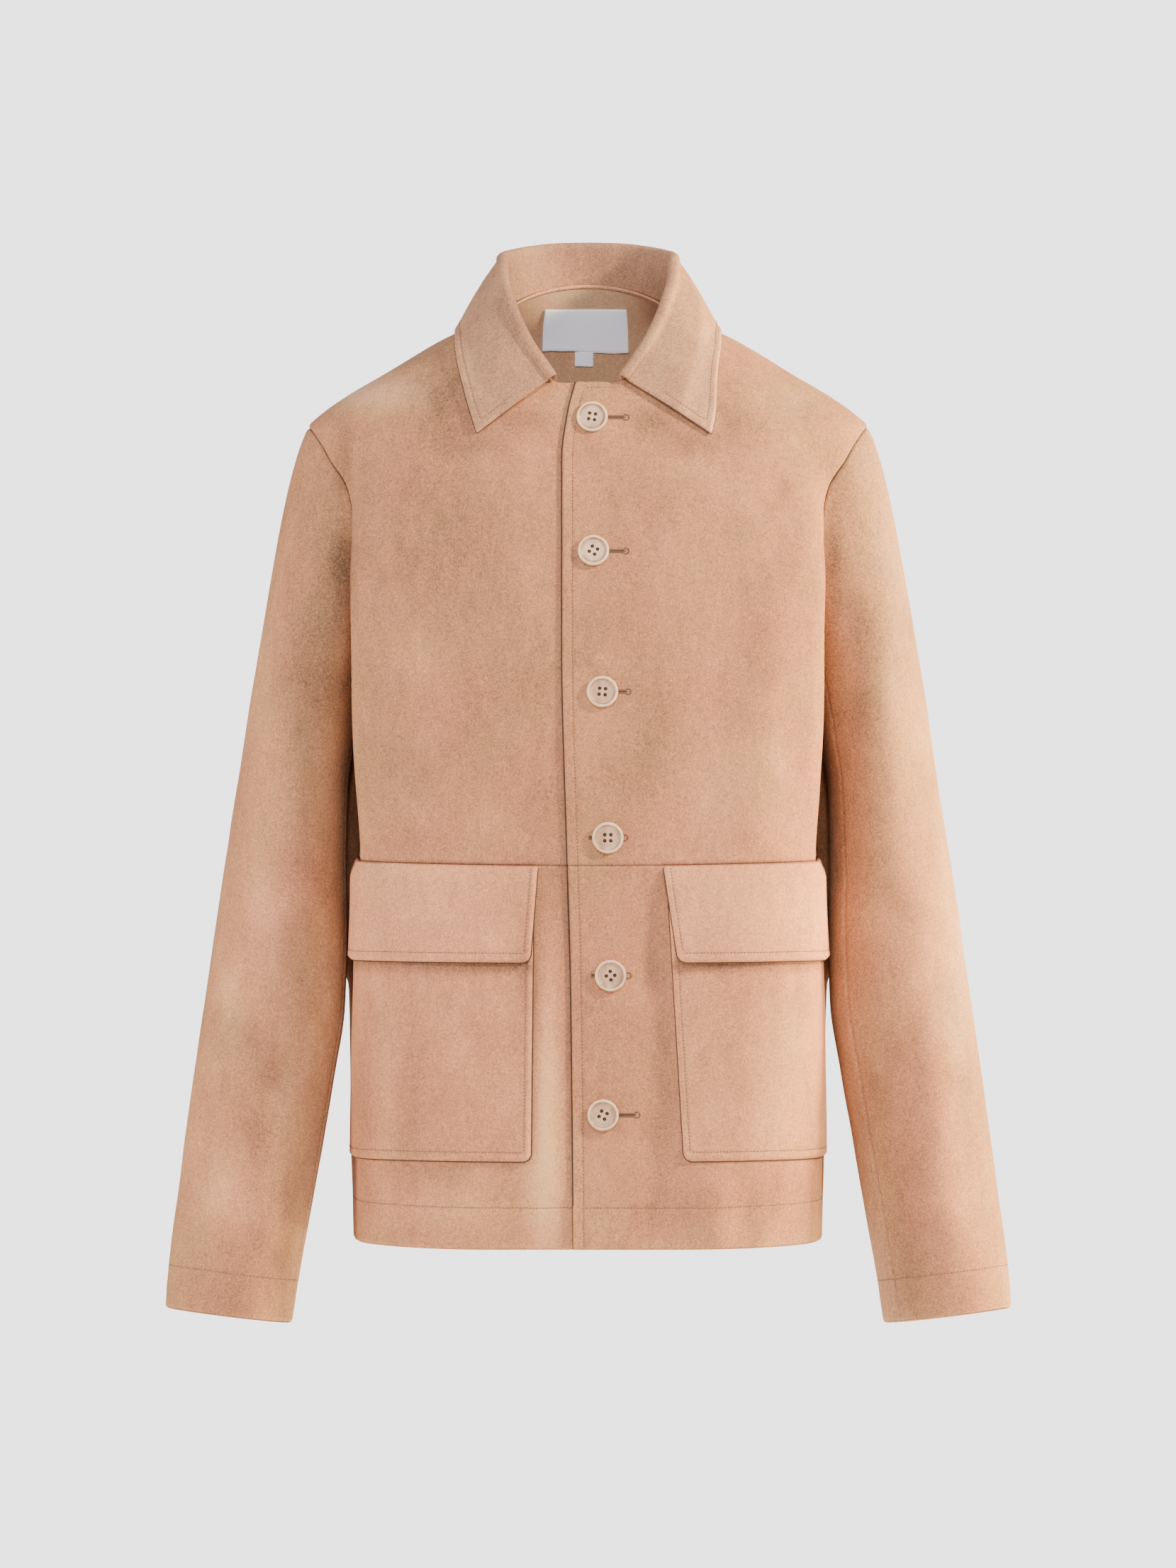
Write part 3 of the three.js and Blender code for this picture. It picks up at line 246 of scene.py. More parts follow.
# Folds round a sleeve: turns round it from the outer edge towards the front and a height, from
# one end to the other, with a width in millimetres and how far they stand out.
SLEEVE_FOLDS = {
    "left": [
        (0.05, -330, 0.3, -470, 24, -4),
        (0.1, -480, 0.36, -560, 20, -4),
        (0.2, -560, 0.26, -690, 18, 3.5),
        (0.62, -440, 0.9, -480, 18, -5),
        (0.6, -520, 0.88, -500, 18, -4),
        (0.2, -180, 0.34, -330, 18, -3.5),
        (0.02, -430, 0.18, -470, 11, -1.2),
        (0.14, -520, 0.3, -548, 9, 1.2),
        (0.3, -400, 0.42, -430, 10, -1.2),
        (0.08, -640, 0.2, -668, 12, -1.0),
        (0.72, -300, 0.88, -350, 14, -1.4),
    ],
    "right": [
        (0.1, -500, 0.36, -575, 19, -6),
        (0.08, -560, 0.3, -545, 15, 3.5),
        (0.3, -560, 0.33, -700, 15, 4),
        (0.1, -610, 0.27, -665, 18, -4),
        (0.62, -450, 0.9, -490, 18, -5),
        (0.6, -540, 0.88, -520, 18, -4),
        (0.16, -180, 0.32, -340, 20, -4),
        (0.2, -590, 0.3, -640, 9, -1.5),
        (0.04, -500, 0.16, -530, 10, 1.3),
        (0.12, -400, 0.28, -440, 14, -1.2),
        (0.7, -310, 0.86, -355, 14, -1.4),
    ],
}

collar_line = columns_of(table("k fold_x fold_y fold_z edge_x edge_y edge_z", [
    (0, 0, 59, 49, 0, 82, -21),
    (0.14, 26, 55, 48.5, 38, 77, -21),
    (0.28, 51, 38, 45.5, 73, 57, -19),
    (0.42, 65, 9, 40.5, 94, 22, -13),
    (0.56, 64, -20, 26, 97.5, -20, -18),
    (0.7, 58, -44, 5, 95.5, -45, -38),
    (0.85, 45.5, -63, -22, 89.5, -65, -65),
    (1, 26.5, -73, -50, 81.5, -80, -92),
]), "k")
COLLAR_FOLD = 3.4
COLLAR_CROWN = 2.2
COLLAR_LIFT = 3.2
EDGE_CURL = 0.9
COLLAR_SKEW = 9
NECK_BACK_SHARE = 0.42

FLAP_BOTTOM_Z = -480.5
FLAP_RISE = 4
FLAP_EDGES = {"right": (-37, -42.5), "left": (55.5, 66)}
POCKET_EDGES = {"right": (-40, -42), "left": (58.5, 70.5)}
POCKET_TOP = 14
POCKET_BOTTOM_Z = -626
POCKET_RISE = 4
POCKET_END = 0.955
POCKET_BELLY = 1.8
FLAP_LIFT = 2.4

# Each button's place across and up, and how far it is turned in degrees.
BUTTONS = [(3, -80.5, 10), (4, -179, 30), (10.5, -282, 5), (14.5, -389, 0), (16.5, -490, 40), (11, -592, 25)]
BUTTON = {"radius": 11.5, "thick": 3.4, "rim": 1.7, "dish": 1.1, "hole_radius": 1.35, "hole_spacing": 2.2}
BUTTON_SEAT = 0.4

# Levels and shares at which the torso's skin is worked out once.
LEVELS = np.arange(HEM_Z - 26.0, 62.0)
SHARES = 160
EVEN_SHARES = np.linspace(0, 1, SHARES + 1)
ARC_STEPS = 500


def quarter_tables(is_back):
    """x and y of one quarter of every level section at even shares of its length, and lengths."""
    half = torso["half"](LEVELS)[:, None]
    depth = torso["back" if is_back else "front"](LEVELS)[:, None]
    power = 2 / torso["square_back" if is_back else "square_front"](LEVELS)[:, None]
    corner = 0 if is_back else torso["corner"](LEVELS)[:, None]
    fullness = torso["fullness"](LEVELS)[:, None] if is_back else 0
    angle = np.linspace(0, np.pi / 2, ARC_STEPS)
    angle = (angle[::-1] if is_back else angle)[None, :]
    forward = np.clip(np.cos(angle), 0, 1) ** power
    fold = corner * bump(forward - CORNER_PLACE, CORNER_WIDTH)
    full = fullness * FULLNESS_PEAK * forward**2 * (1 - forward) ** 4
    x = half * np.sin(angle) ** power + fold + full
    y = depth * forward * (1 if is_back else -1)
    step = np.hypot(np.diff(x, axis=1), np.diff(y, axis=1))
    run = np.concatenate([np.zeros((len(LEVELS), 1)), np.cumsum(step, axis=1)], axis=1)
    even = lambda values: np.array([np.interp(EVEN_SHARES * r[-1], r, row) for r, row in zip(run, values)])
    return even(x), even(y), run[:, -1]


FRONT_X, FRONT_Y, FRONT_RUN = quarter_tables(False)
BACK_X, BACK_Y, BACK_RUN = quarter_tables(True)
SKIN_X = np.concatenate([FRONT_X, BACK_X[:, 1:]], axis=1)
SKIN_Y = np.concatenate([FRONT_Y, BACK_Y[:, 1:]], axis=1)


JUST_UNDER = 0.001


def look_up(skin, across, z):
    """Reads a table of the half torso between its entries."""
    row = np.clip(z - LEVELS[0], 0, len(LEVELS) - 1 - JUST_UNDER)
    col = np.clip(np.abs(across) * SHARES, 0, 2 * SHARES - JUST_UNDER)
    i, j = row.astype(int), col.astype(int)
    a, b = row - i, col - j
    low = lerp(skin[i, j], skin[i, j + 1], b)
    high = lerp(skin[i + 1, j], skin[i + 1, j + 1], b)
    return lerp(low, high, a)


def front_length(z):
    return np.interp(z, LEVELS, FRONT_RUN)


def back_length(z):
    return np.interp(z, LEVELS, BACK_RUN)


def smooth_torso(across, z):
    """across is 0 at the centre front, 1 at the side, 2 at the centre back, negative on the right."""
    across, z = np.broadcast_arrays(np.asarray(across, float), np.asarray(z, float))
    side = np.where(across < 0, -1.0, 1.0)
    return np.stack([side * look_up(SKIN_X, across, z), look_up(SKIN_Y, across, z), z], axis=-1)


# How far on both sides of a place the surface is compared to find which way it faces.
NORMAL_ACROSS = 0.02
NORMAL_UP = 2


def torso_normal(across, z):
    wrap = lambda w: np.where(w > 2, w - 4, np.where(w < -2, w + 4, w))
    around = smooth_torso(wrap(across + NORMAL_ACROSS), z) - smooth_torso(wrap(across - NORMAL_ACROSS), z)
    up = smooth_torso(across, z + NORMAL_UP) - smooth_torso(across, z - NORMAL_UP)
    return normalized(np.cross(around, up))


def round_mm(across, z):
    """Millimetres round the torso from the centre front."""
    size = np.abs(across)
    run = np.minimum(size, 1) * front_length(z) + np.maximum(size - 1, 0) * back_length(z)
    return np.where(across < 0, -run, run)


FOLD_END = 0.04
FOLD_FADE = 0.7


def fold_height(folds, x, z, girth=None):
    """How far folds move the cloth at a place in millimetres round and up."""
    height = np.zeros(np.broadcast(x, z).shape)
    for x0, z0, x1, z1, width, tall in folds:
        near = x if girth is None else x - girth * np.round((x - (x0 + x1) / 2) / girth)
        run_x, run_z = x1 - x0, z1 - z0
        t = np.clip(((near - x0) * run_x + (z - z0) * run_z) / (run_x**2 + run_z**2), 0, 1)
        away = np.hypot(near - x0 - t * run_x, z - z0 - t * run_z)
        fade = smoothstep(np.sin(np.pi * np.clip(t, FOLD_END, 1 - FOLD_END)), 0, FOLD_FADE)
        height = height + tall * bump(away, width) * fade
    return height


LATTICE = 64
LATTICE_SHIFT = 1000


def soft_noise(x, z, size, seed):
    """Smooth noise from -1 to 1 over a plane, with lumps of a size in millimetres."""
    lattice = np.random.default_rng(seed).uniform(-1, 1, (LATTICE, LATTICE))
    u, v = np.asarray(x) / size + LATTICE_SHIFT, np.asarray(z) / size + LATTICE_SHIFT
    i, j = np.floor(u).astype(int), np.floor(v).astype(int)
    a, b = smoothstep(u - i, 0, 1), smoothstep(v - j, 0, 1)
    at = lambda p, q: lattice[p % LATTICE, q % LATTICE]
    return lerp(lerp(at(i, j), at(i + 1, j), a), lerp(at(i, j + 1), at(i + 1, j + 1), a), b)


TORSO_SEED = 11
SLEEVE_SEEDS = {"left": 40, "right": 50}
# How far from the centre back the small waves and creases reach their full height.
CALM_BACK = 45


def cloth_unevenness(x, z, seed):
    """The small waves of soft leather that hangs freely."""
    return (
        0.55 * soft_noise(x, z * 0.6, 74, seed)
        + 0.22 * soft_noise(x, z * 0.8, 27, seed + 1)
        + 0.07 * soft_noise(x, z, 9, seed + 2)
    )


def torso_relief(across, z):
    x = round_mm(across, z)
    from_centre_back = (2 - np.abs(across)) * back_length(z)
    calm = smoothstep(from_centre_back, 0, CALM_BACK)
    small = fold_height(TORSO_CREASES, x, z) + cloth_unevenness(x, z, TORSO_SEED)
    return fold_height(TORSO_FOLDS, x, z) + small * calm


def torso_point(across, z, out=0.0):
    shift = out + torso_relief(across, z)
    return smooth_torso(across, z) + torso_normal(across, z) * shift[..., None]


def across_at(x, z):
    """Where round the front a place straight ahead of x lies, at one height."""
    rising = np.maximum.accumulate(FRONT_X[int(round(z - LEVELS[0]))])
    return math.copysign(np.interp(abs(x), rising, EVEN_SHARES), x)


def across_at_depth(y, z):
    """Where round the section the torso has a depth y, at one height."""
    level = int(np.clip(round(z - LEVELS[0]), 0, len(LEVELS) - 1))
    if y > 0:
        return 1 + np.interp(y, BACK_Y[level], EVEN_SHARES)
    return np.interp(y, FRONT_Y[level], EVEN_SHARES)


def armhole_place(turn):
    """The armhole: 0 at the shoulder point, 0.25 at the front, 0.5 under the arm, 0.75 behind."""
    angle = turn * 2 * math.pi
    z = (SHOULDER_Z + UNDERARM_Z) / 2 + (SHOULDER_Z - UNDERARM_Z) / 2 * math.cos(angle)
    reach = abs(math.sin(angle)) ** ARMHOLE["roundness"]
    if reach < 1e-6:
        return 1.0, z
    y = -ARMHOLE["front"] * reach if 0 < turn < 0.5 else ARMHOLE["back"] * reach
    return across_at_depth(y, z), z


def near_side(across):
    size = np.abs(across)
    return np.where(size > 1, 2 - size, size)


def hem_z(across):
    return HEM_Z + HEM_RISE * smoothstep(near_side(across), 0.3, 1)


def waist_z(across):
    return WAIST_Z + WAIST_RISE * near_side(across) ** 2


FINE_STEP = 1.0


def shares_for(length, fine_low, fine_high, coarse_step=5.0):
    """Shares along a length, with fine steps near its ends as far as asked."""
    low = np.arange(0, fine_low, FINE_STEP)
    high = length - np.arange(0, fine_high, FINE_STEP)[::-1]
    start = low[-1] + FINE_STEP if len(low) else 0
    end = high[0] - FINE_STEP if len(high) else length
    middle = np.linspace(start, end, max(2, int(round((end - start) / coarse_step)) + 1))
    return np.unique(np.concatenate([low, middle, high]) / length)


def with_fine(shares, place, length, reach):
    """Adds fine steps on both sides of one place to shares along a length."""
    return np.unique(np.concatenate([shares, place + np.arange(-reach, reach + 1) / length]))


def both_ways(half):
    """Shares from -1 to 1, from those from 0 to 1."""
    return np.concatenate([-half[::-1], half[1:]])


# Panels are filled in flat pattern coordinates: millimetres round from the centre front, and up.
def pattern(places):
    across, z = np.array(places, dtype=float).T
    return np.stack([round_mm(across, z), z], axis=-1)


def place_on_torso(u, z):
    front = front_length(z)
    size = np.abs(u)
    across = np.where(size <= front, size / front, 1 + (size - front) / back_length(z))
    return np.where(u < 0, -across, across), z


def fill_panel(bottom, top, left, right, s, t):
    """A four-sided patch between its edges, with s across it and t up it."""
    s, t = s[None, :, None], t[:, None, None]
    return (
        (1 - t) * bottom[None]
        + t * top[None]
        + (1 - s) * left[:, None]
        + s * right[:, None]
        - (1 - t) * ((1 - s) * left[0] + s * right[0])
        - t * ((1 - s) * left[-1] + s * right[-1])
    )


def edge_distances(grid):
    """How far each point of a grid is from its left, right, bottom and top edges."""
    along = np.linalg.norm(np.diff(grid, axis=1), axis=-1)
    upward = np.linalg.norm(np.diff(grid, axis=0), axis=-1)
    left = np.concatenate([np.zeros((len(grid), 1)), np.cumsum(along, axis=1)], axis=1)
    bottom = np.concatenate([np.zeros((1, grid.shape[1])), np.cumsum(upward, axis=0)], axis=0)
    return {"left": left, "right": left[:, -1:] - left, "bottom": bottom, "top": bottom[-1:] - bottom}


# Depths, heights and widths of the cloth near its edges, painted shade in seams and stitch grooves, and a
# painted highlight along turned edges.
EDGE_DROP = 0.6
EDGE_WIDTH = 0.9
SEAM_WIDTH = 0.6
SEAM_SWELL = 0.25
SEAM_SWELL_AWAY = 3.0
SEAM_SWELL_WIDTH = 2.0
TURN_SWELL = 0.18
STITCH_DROP = 0.25
STITCH_WIDTH = 0.8
SEAM_SHADE = 0.5
STITCH_GROOVE_SHADE = 0.08
EDGE_ROLL_HIGHLIGHT = 0.25


def edge_relief(distances, edges):
    """Relief near a panel's edges. Each edge is a seam, or is turned and stitched at an offset."""
    relief = 0.0
    for side, stitch in edges.items():
        d = distances[side]
        if stitch == "seam":
            swell = SEAM_SWELL * bump(d - SEAM_SWELL_AWAY, SEAM_SWELL_WIDTH)
            relief = relief - EDGE_DROP * bump(d, SEAM_WIDTH) + swell
        else:
            swell = TURN_SWELL * bump(d - stitch * 0.45, stitch * 0.3)
            relief = relief - EDGE_DROP * bump(d, EDGE_WIDTH) + swell
            relief = relief - STITCH_DROP * bump(d - stitch, STITCH_WIDTH)
    return relief


def edge_shade_and_highlight(distances, edges):
    """Painted shade in a seam's groove and, slightly, along a line of stitches, and a painted highlight on a
    turned edge's roll.
    """
    tone = 0.0
    for side, stitch in edges.items():
        d = distances[side]
        if stitch == "seam":
            tone = tone - SEAM_SHADE * bump(d, 0.5)
        else:
            tone = tone - STITCH_GROOVE_SHADE * bump(d - stitch, STITCH_WIDTH) + EDGE_ROLL_HIGHLIGHT * bump(d - 1.0, 1.0)
    return tone


def grid_normals(grid, is_tube=False):
    if is_tube:
        around = np.roll(grid, -1, axis=1) - np.roll(grid, 1, axis=1)
    else:
        around = np.gradient(grid, axis=1)
    return normalized(np.cross(around, np.gradient(grid, axis=0)))


def grid_faces(rows, cols, start, is_tube=False):
    i, j = np.meshgrid(np.arange(rows - 1), np.arange(cols if is_tube else cols - 1), indexing="ij")
    k = (j + 1) % cols
    corners = [i * cols + j, i * cols + k, (i + 1) * cols + k, (i + 1) * cols + j]
    return np.stack([c.ravel() for c in corners], axis=-1) + start


def strip_faces(a, b):
    """Faces between two matching closed lists of points."""
    return np.stack([a, np.roll(a, -1), np.roll(b, -1), b], axis=-1)


def boundary_loops(rows, cols, is_tube):
    """The edges of a grid, as closed lists of its points with the next point inwards from each."""
    at = lambda i, j: i * cols + j
    columns = np.arange(cols)
    if is_tube:
        return [
            (at(0, columns), at(1, columns)),
            (at(rows - 1, columns), at(rows - 2, columns)),
        ]
    right, up = np.arange(cols - 1), np.arange(rows - 1)
    bottom, top = np.zeros_like(right), np.full_like(right, rows - 1)
    first, last = np.zeros_like(up), np.full_like(up, cols - 1)
    i = np.concatenate([bottom, up, top, rows - 1 - up])
    j = np.concatenate([right, last, cols - 1 - right, first])
    return [(at(i, j), at(np.clip(i, 1, rows - 2), np.clip(j, 1, cols - 2)))]


# How far the middle of a rim stands out, as a share of its thickness and at most.
RIM_SHARE = 0.4
RIM_MOST = 0.9


def cloth_mesh(name, outer, inner, tone, inner_tone, is_tube=False):
    """A closed wall between two grids of points in millimetres, with rounded edges."""
    rows, cols = outer.shape[:2]
    count = rows * cols
    flat_outer, flat_inner = outer.reshape(-1, 3), inner.reshape(-1, 3)
    points = [flat_outer, flat_inner]
    tones = [np.broadcast_to(values, (rows, cols)).ravel() for values in (tone, inner_tone)]
    faces = [grid_faces(rows, cols, 0, is_tube), grid_faces(rows, cols, count, is_tube)[:, ::-1]]
    start = 2 * count
    for ring, inside in boundary_loops(rows, cols, is_tube):
        middle = (flat_outer[ring] + flat_inner[ring]) / 2
        away = normalized(middle - (flat_outer[inside] + flat_inner[inside]) / 2)
        thick = np.linalg.norm(flat_outer[ring] - flat_inner[ring], axis=-1, keepdims=True)
        points.append(middle + away * np.minimum(thick * RIM_SHARE, RIM_MOST))
        tones.append((tones[0][ring] + tones[1][ring]) / 2)
        rim = start + np.arange(len(ring))
        faces.append(strip_faces(rim, ring))
        faces.append(strip_faces(ring + count, rim))
        start += len(ring)
    points = np.concatenate(points)
    faces = np.concatenate(faces)
    corner = points[faces]
    volume = 0.0
    for second, third in ((1, 2), (2, 3)):
        turned = np.cross(corner[:, second], corner[:, third])
        volume += np.einsum("ij,ij->i", corner[:, 0], turned).sum()
    return mesh_piece(name, points, faces if volume > 0 else faces[:, ::-1], np.concatenate(tones))


def add_object(name, data):
    made = bpy.data.objects.new(name, data)
    bpy.context.scene.collection.objects.link(made)
    return made


def points_of(mesh):
    flat = np.empty(len(mesh.vertices) * 3)
    mesh.vertices.foreach_get("co", flat)
    return flat.reshape(-1, 3)


def mark(mesh, name, values):
    """Gives each point of a mesh a value of its own."""
    layer = mesh.attributes.new(name, "FLOAT", "POINT")
    layer.data.foreach_set("value", np.asarray(values, dtype=np.float32))


def mesh_piece(name, points, faces, tones=None):
    """A piece from its points in millimetres, its faces and how light each point is, nap and painted light
    together.
    """
    mesh = bpy.data.meshes.new(name)
    mesh.vertices.add(len(points))
    mesh.vertices.foreach_set("co", (points * MM).astype(np.float32).ravel())
    sizes = np.array([len(face) for face in faces])
    mesh.loops.add(int(sizes.sum()))
    mesh.loops.foreach_set("vertex_index", np.concatenate([np.asarray(f) for f in faces]).astype(np.int32))
    mesh.polygons.add(len(faces))
    mesh.polygons.foreach_set("loop_start", np.concatenate([[0], np.cumsum(sizes)[:-1]]).astype(np.int32))
    mesh.update(calc_edges=True)
    mesh.validate()
    mesh.polygons.foreach_set("use_smooth", np.ones(len(mesh.polygons), dtype=bool))
    if tones is not None:
        mark(mesh, "tone", tones)
    piece = add_object(name, mesh)
    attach(piece, "root")
    return piece


def dress(piece, material):
    """Gives a piece its material."""
    piece.data.materials.append(material)
    return piece


def sewn(piece, node, outer, inner, normal, distances):
    """A piece that stands for a node, with the grids that stitches and painted shadow lines are laid along.
    """
    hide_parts(node)
    return {"piece": piece, "outer": outer, "inner": inner, "normal": normal, "distances": distances}


# Lighter and darker places on the body, in millimetres across and up as seen from straight ahead, with the
# size each way and how much lighter they are. Some are nap clouds; many are painted shade and painted
# highlights: shadows round the collar leaves, pockets and armholes, and lit ridges on the lower front and
# sleeves.
NAP_AND_LIGHT_PLACES = [
    (-31, -640, 15, 62, 1.1),
    (-29, -550, 9, 66, 0.9),
    (-48, -470, 8, 60, -0.35),
    (-165, -580, 9, 60, -0.55),
    (-131, -575, 10, 60, -0.3),
    (-148, -575, 8, 60, 0.15),
    (-90, -570, 26, 40, 0.12),
    (150, -560, 12, 60, 0.25),
    (108, -575, 9, 56, -0.25),
    (-106, -72, 15, 30, -0.55),
    (-80, -100, 17, 8, -0.5),
    (-47, -82, 17, 8, -0.5),
    (106, -74, 13, 30, -0.45),
    (80, -100, 17, 9, -0.6),
    (46, -83, 17, 9, -0.6),
    (48, -310, 15, 40, -0.45),
    (34, -345, 14, 22, -0.2),
    (78, -120, 60, 42, 0.2),
    (-100, -170, 70, 60, -0.15),
    (110, -350, 50, 60, 0.3),
    (-95, -330, 46, 60, 0.2),
    (52, -560, 10, 90, -0.35),
    (-240, -330, 22, 110, 0.3),
    (-262, -505, 13, 34, 0.55),
    (-235, -470, 34, 22, -0.15),
    (-222, -575, 12, 46, 0.5),
    (-268, -645, 20, 28, 0.7),
    (-240, -600, 16, 36, -0.35),
    (-205, -240, 24, 80, -0.15),
    (225, -250, 26, 80, -0.1),
    (250, -440, 24, 50, 0.2),
    (262, -520, 18, 60, 0.35),
    (252, -570, 20, 26, -0.25),
    (276, -660, 20, 46, 0.3),
    (82, -55, 22, 40, 0.35),
    (-158, -64, 34, 18, 0.35),
    (-180, -114, 7, 24, -0.7),
    (180, -114, 7, 24, -0.4),
    (-205, -150, 22, 60, -0.2),
    (-95, -150, 30, 60, -0.25),
    (-70, -330, 36, 60, -0.2),
    (-128, -250, 30, 50, 0.15),
    (130, -440, 46, 34, 0.4),
    (30, -130, 34, 70, -0.15),
    (0, -330, 14, 50, 0.2),
    (100, -660, 60, 22, -0.4),
    (-100, -660, 60, 20, 0.5),
    (-92, -300, 46, 60, -0.3),
    (-240, -450, 16, 50, 0.5),
    (120, -560, 30, 40, 0.12),
    (-100, -378, 60, 24, 0.2),
    (205, -250, 26, 70, -0.3),
    (-181, -188, 9, 34, -0.9),
    (181, -190, 7, 34, -0.6),
]
# Behind, the nap's clouds are read this far along, so that they differ from those in front.
BACK_CLOUDS_SHIFT = 403
# Places painted pale, painted sheen on the shoulder tops and painted highlights along the sleeves' outer
# sides and the lower front's ridge, and places where the nap lies pinker, where the amount is negative. The
# columns are those of the lighter and darker places.
SHEEN_AND_CAST_PLACES = [
    (-160, -60, 38, 15, 0.75),
    (155, -62, 36, 13, 0.4),
    (-264, -520, 15, 36, 0.3),
    (-275, -640, 16, 40, 0.25),
    (272, -540, 10, 120, 0.45),
    (225, -280, 10, 90, 0.3),
    (-30, -610, 10, 60, 0.25),
    (262, -620, 45, 110, -0.45),
    (245, -450, 40, 90, -0.15),
    (-240, -450, 40, 90, -0.2),
    (-262, -620, 45, 90, -0.2),
    (-98, -445, 90, 60, -0.3),
    (118, -447, 90, 60, -0.35),
    (-100, -560, 90, 90, -0.25),
    (90, -290, 60, 90, -0.12),
    (110, -600, 80, 60, -0.12),
]
# No place further back than this is painted pale.
SHEEN_DEPTH = 40


def spots(places, x, z):
    """The sum of soft round spots at places across and up."""
    total = np.zeros(x.shape)
    for place_x, place_z, wide, tall, amount in places:
        total += amount * bump(np.hypot((x - place_x) / wide, (z - place_z) / tall), 1.0)
    return total


def nap_and_light_tone(points):
    """How much lighter or darker each point is, from the listed places, much of it painted shade and
    highlights, and from slow nap changes.
    """
    x, y, z = points[..., 0], points[..., 1], points[..., 2]
    around = x + np.where(y > 0, BACK_CLOUDS_SHIFT, 0)
    return (
        spots(NAP_AND_LIGHT_PLACES, x, z) * (y < 0)
        + 0.16 * soft_noise(around, z * 0.7, 62, 5)
        + 0.08 * soft_noise(around, z * 0.8, 23, 6)
        + 0.04 * soft_noise(around + z * 0.3, z * 0.5, 9, 8)
    )


def mark_sheen_and_cast(piece, more=None):
    """Marks how far each point is painted pale with painted sheen and highlights, and pinker where negative.
    more adds to the outer face.
    """
    x, y, z = points_of(piece.data).T / MM
    level = spots(SHEEN_AND_CAST_PLACES, x, z) * (y < SHEEN_DEPTH)
    if more is not None:
        level[:more.size] += more.ravel()
    mark(piece.data, "sheen_and_cast", level)


def panel(node, across, z, out, edges):
    """A torso panel from its places round the body, as a finished piece with its outer points."""
    base = torso_point(across, z, out)
    distances = edge_distances(base)
    normal = torso_normal(across, z)
    outer = base + normal * edge_relief(distances, edges)[..., None]
    inner = base - normal * hem_thick(across, z)[..., None]
    tone = nap_and_light_tone(outer) + edge_shade_and_highlight(distances, edges)
    piece = cloth_mesh("suede_" + node, outer, inner, tone, nap_and_light_tone(inner) * 0.4)
    mark_sheen_and_cast(piece)
    return sewn(piece, node, outer, inner, normal, distances)


def draw_back(across, z, gap):
    """Draws a grid of places back from its edges, along the surface."""
    points = smooth_torso(across, z)
    every = slice(None)
    sides = [((0, every), (1, every)), ((-1, every), (-2, every))]
    sides += [((every, 0), (every, 1)), ((every, -1), (every, -2))]
    for edge, inward in sides:
        step = np.linalg.norm(points[inward] - points[edge], axis=-1)
        share = np.minimum(gap / np.maximum(step, 1e-6), 0.5)
        across[edge] = lerp(across[edge], across[inward], share)
        z[edge] = lerp(z[edge], z[inward], share)
    return across, z


def free_x(side, z):
    return front_edge["x"](z) if side > 0 else UNDERLAP_X


UNDERLAP_HEM_RUN = 14
EDGE_CURL_WIDTH = 6


def front_out(side, across, z):
    """The left front's edge curls up a little, and the right front steps in under it."""
    x = smooth_torso(across, z)[..., 0]
    if side > 0:
        return EDGE_CURL * bump(x - free_x(side, z), EDGE_CURL_WIDTH)
    hem_top = HEM_Z + HEM_TURN
    hem = smoothstep(-z, -(hem_top + UNDERLAP_HEM_RUN), -hem_top)
    drop = lerp(UNDERLAP_DROP, UNDERLAP_HEM_DROP, hem)
    return -drop * smoothstep(x, UNDERLAP_START_X, UNDERLAP_FULL_X)


def hem_thick(across, z):
    """The cloth is doubled where the hem is turned up."""
    return lerp(SUEDE, 2 * SUEDE, smoothstep(hem_z(across) + HEM_TURN + 2 - z, 0, 2))


def top_place(side, share):
    """A place along a front's top: the neck's flat part, the neckline, then the shoulder."""
    strip = share * sum(TOP_STRIPS.values())
    if strip < TOP_STRIPS["flat"]:
        t = strip / TOP_STRIPS["flat"]
        start = across_at(float(free_x(side, NECK_FRONT_Z)), NECK_FRONT_Z)
        end = side * float(neckline["across"](1.0))
        return lerp(start, end, t), lerp(NECK_FRONT_Z, float(neckline["z"](1.0)), t)
    strip -= TOP_STRIPS["flat"]
    if strip < TOP_STRIPS["neck"]:
        t = 1 - strip / TOP_STRIPS["neck"]
        return side * float(neckline["across"](t)), float(neckline["z"](t))
    t = (strip - TOP_STRIPS["neck"]) / TOP_STRIPS["shoulder"]
    return side * 1.0, lerp(NECK_SIDE_Z, SHOULDER_Z, t)


def side_place(side, share, is_back=False):
    """A place up the side seam and round the armhole to the shoulder point."""
    strip = share * sum(EDGE_STRIPS.values())
    if strip < EDGE_STRIPS["side"]:
        return side * 1.0, lerp(float(waist_z(1.0)), UNDERARM_Z, strip / EDGE_STRIPS["side"])
    t = min((strip - EDGE_STRIPS["side"]) / EDGE_STRIPS["armhole"], 1)
    across, z = armhole_place(0.5 + 0.5 * t if is_back else 0.5 - 0.5 * t)
    return side * across, z


def cross_seam(side, height_at, shares):
    start = across_at(float(free_x(side, float(height_at(0.0)))), float(height_at(0.0)))
    return [(a, float(height_at(a))) for a in lerp(start, side, np.asarray(shares, float))]


def free_edge(side, low, high, shares):
    heights = [lerp(low, high, t) for t in shares]
    return [(across_at(float(free_x(side, z)), z), z) for z in heights]


FRONT_EDGE_STITCH = 7.2
NECK_STITCH = 5
# The width and height for which each front's steps are worked out.
UPPER_SIZE = (270, 352)
LOWER_SIZE = (275, 282)


def front_part(side, part, filled, bottom_edge):
    """One part of a front from its filled pattern."""
    across, z = draw_back(*place_on_torso(filled[..., 0], filled[..., 1]), SEAM_GAP / 2)
    edges = {"left": FRONT_EDGE_STITCH, "right": "seam", "bottom": bottom_edge, "top": "seam"}
    return panel("front_%s_%s" % (SIDES[side], part), across, z, front_out(side, across, z), edges)


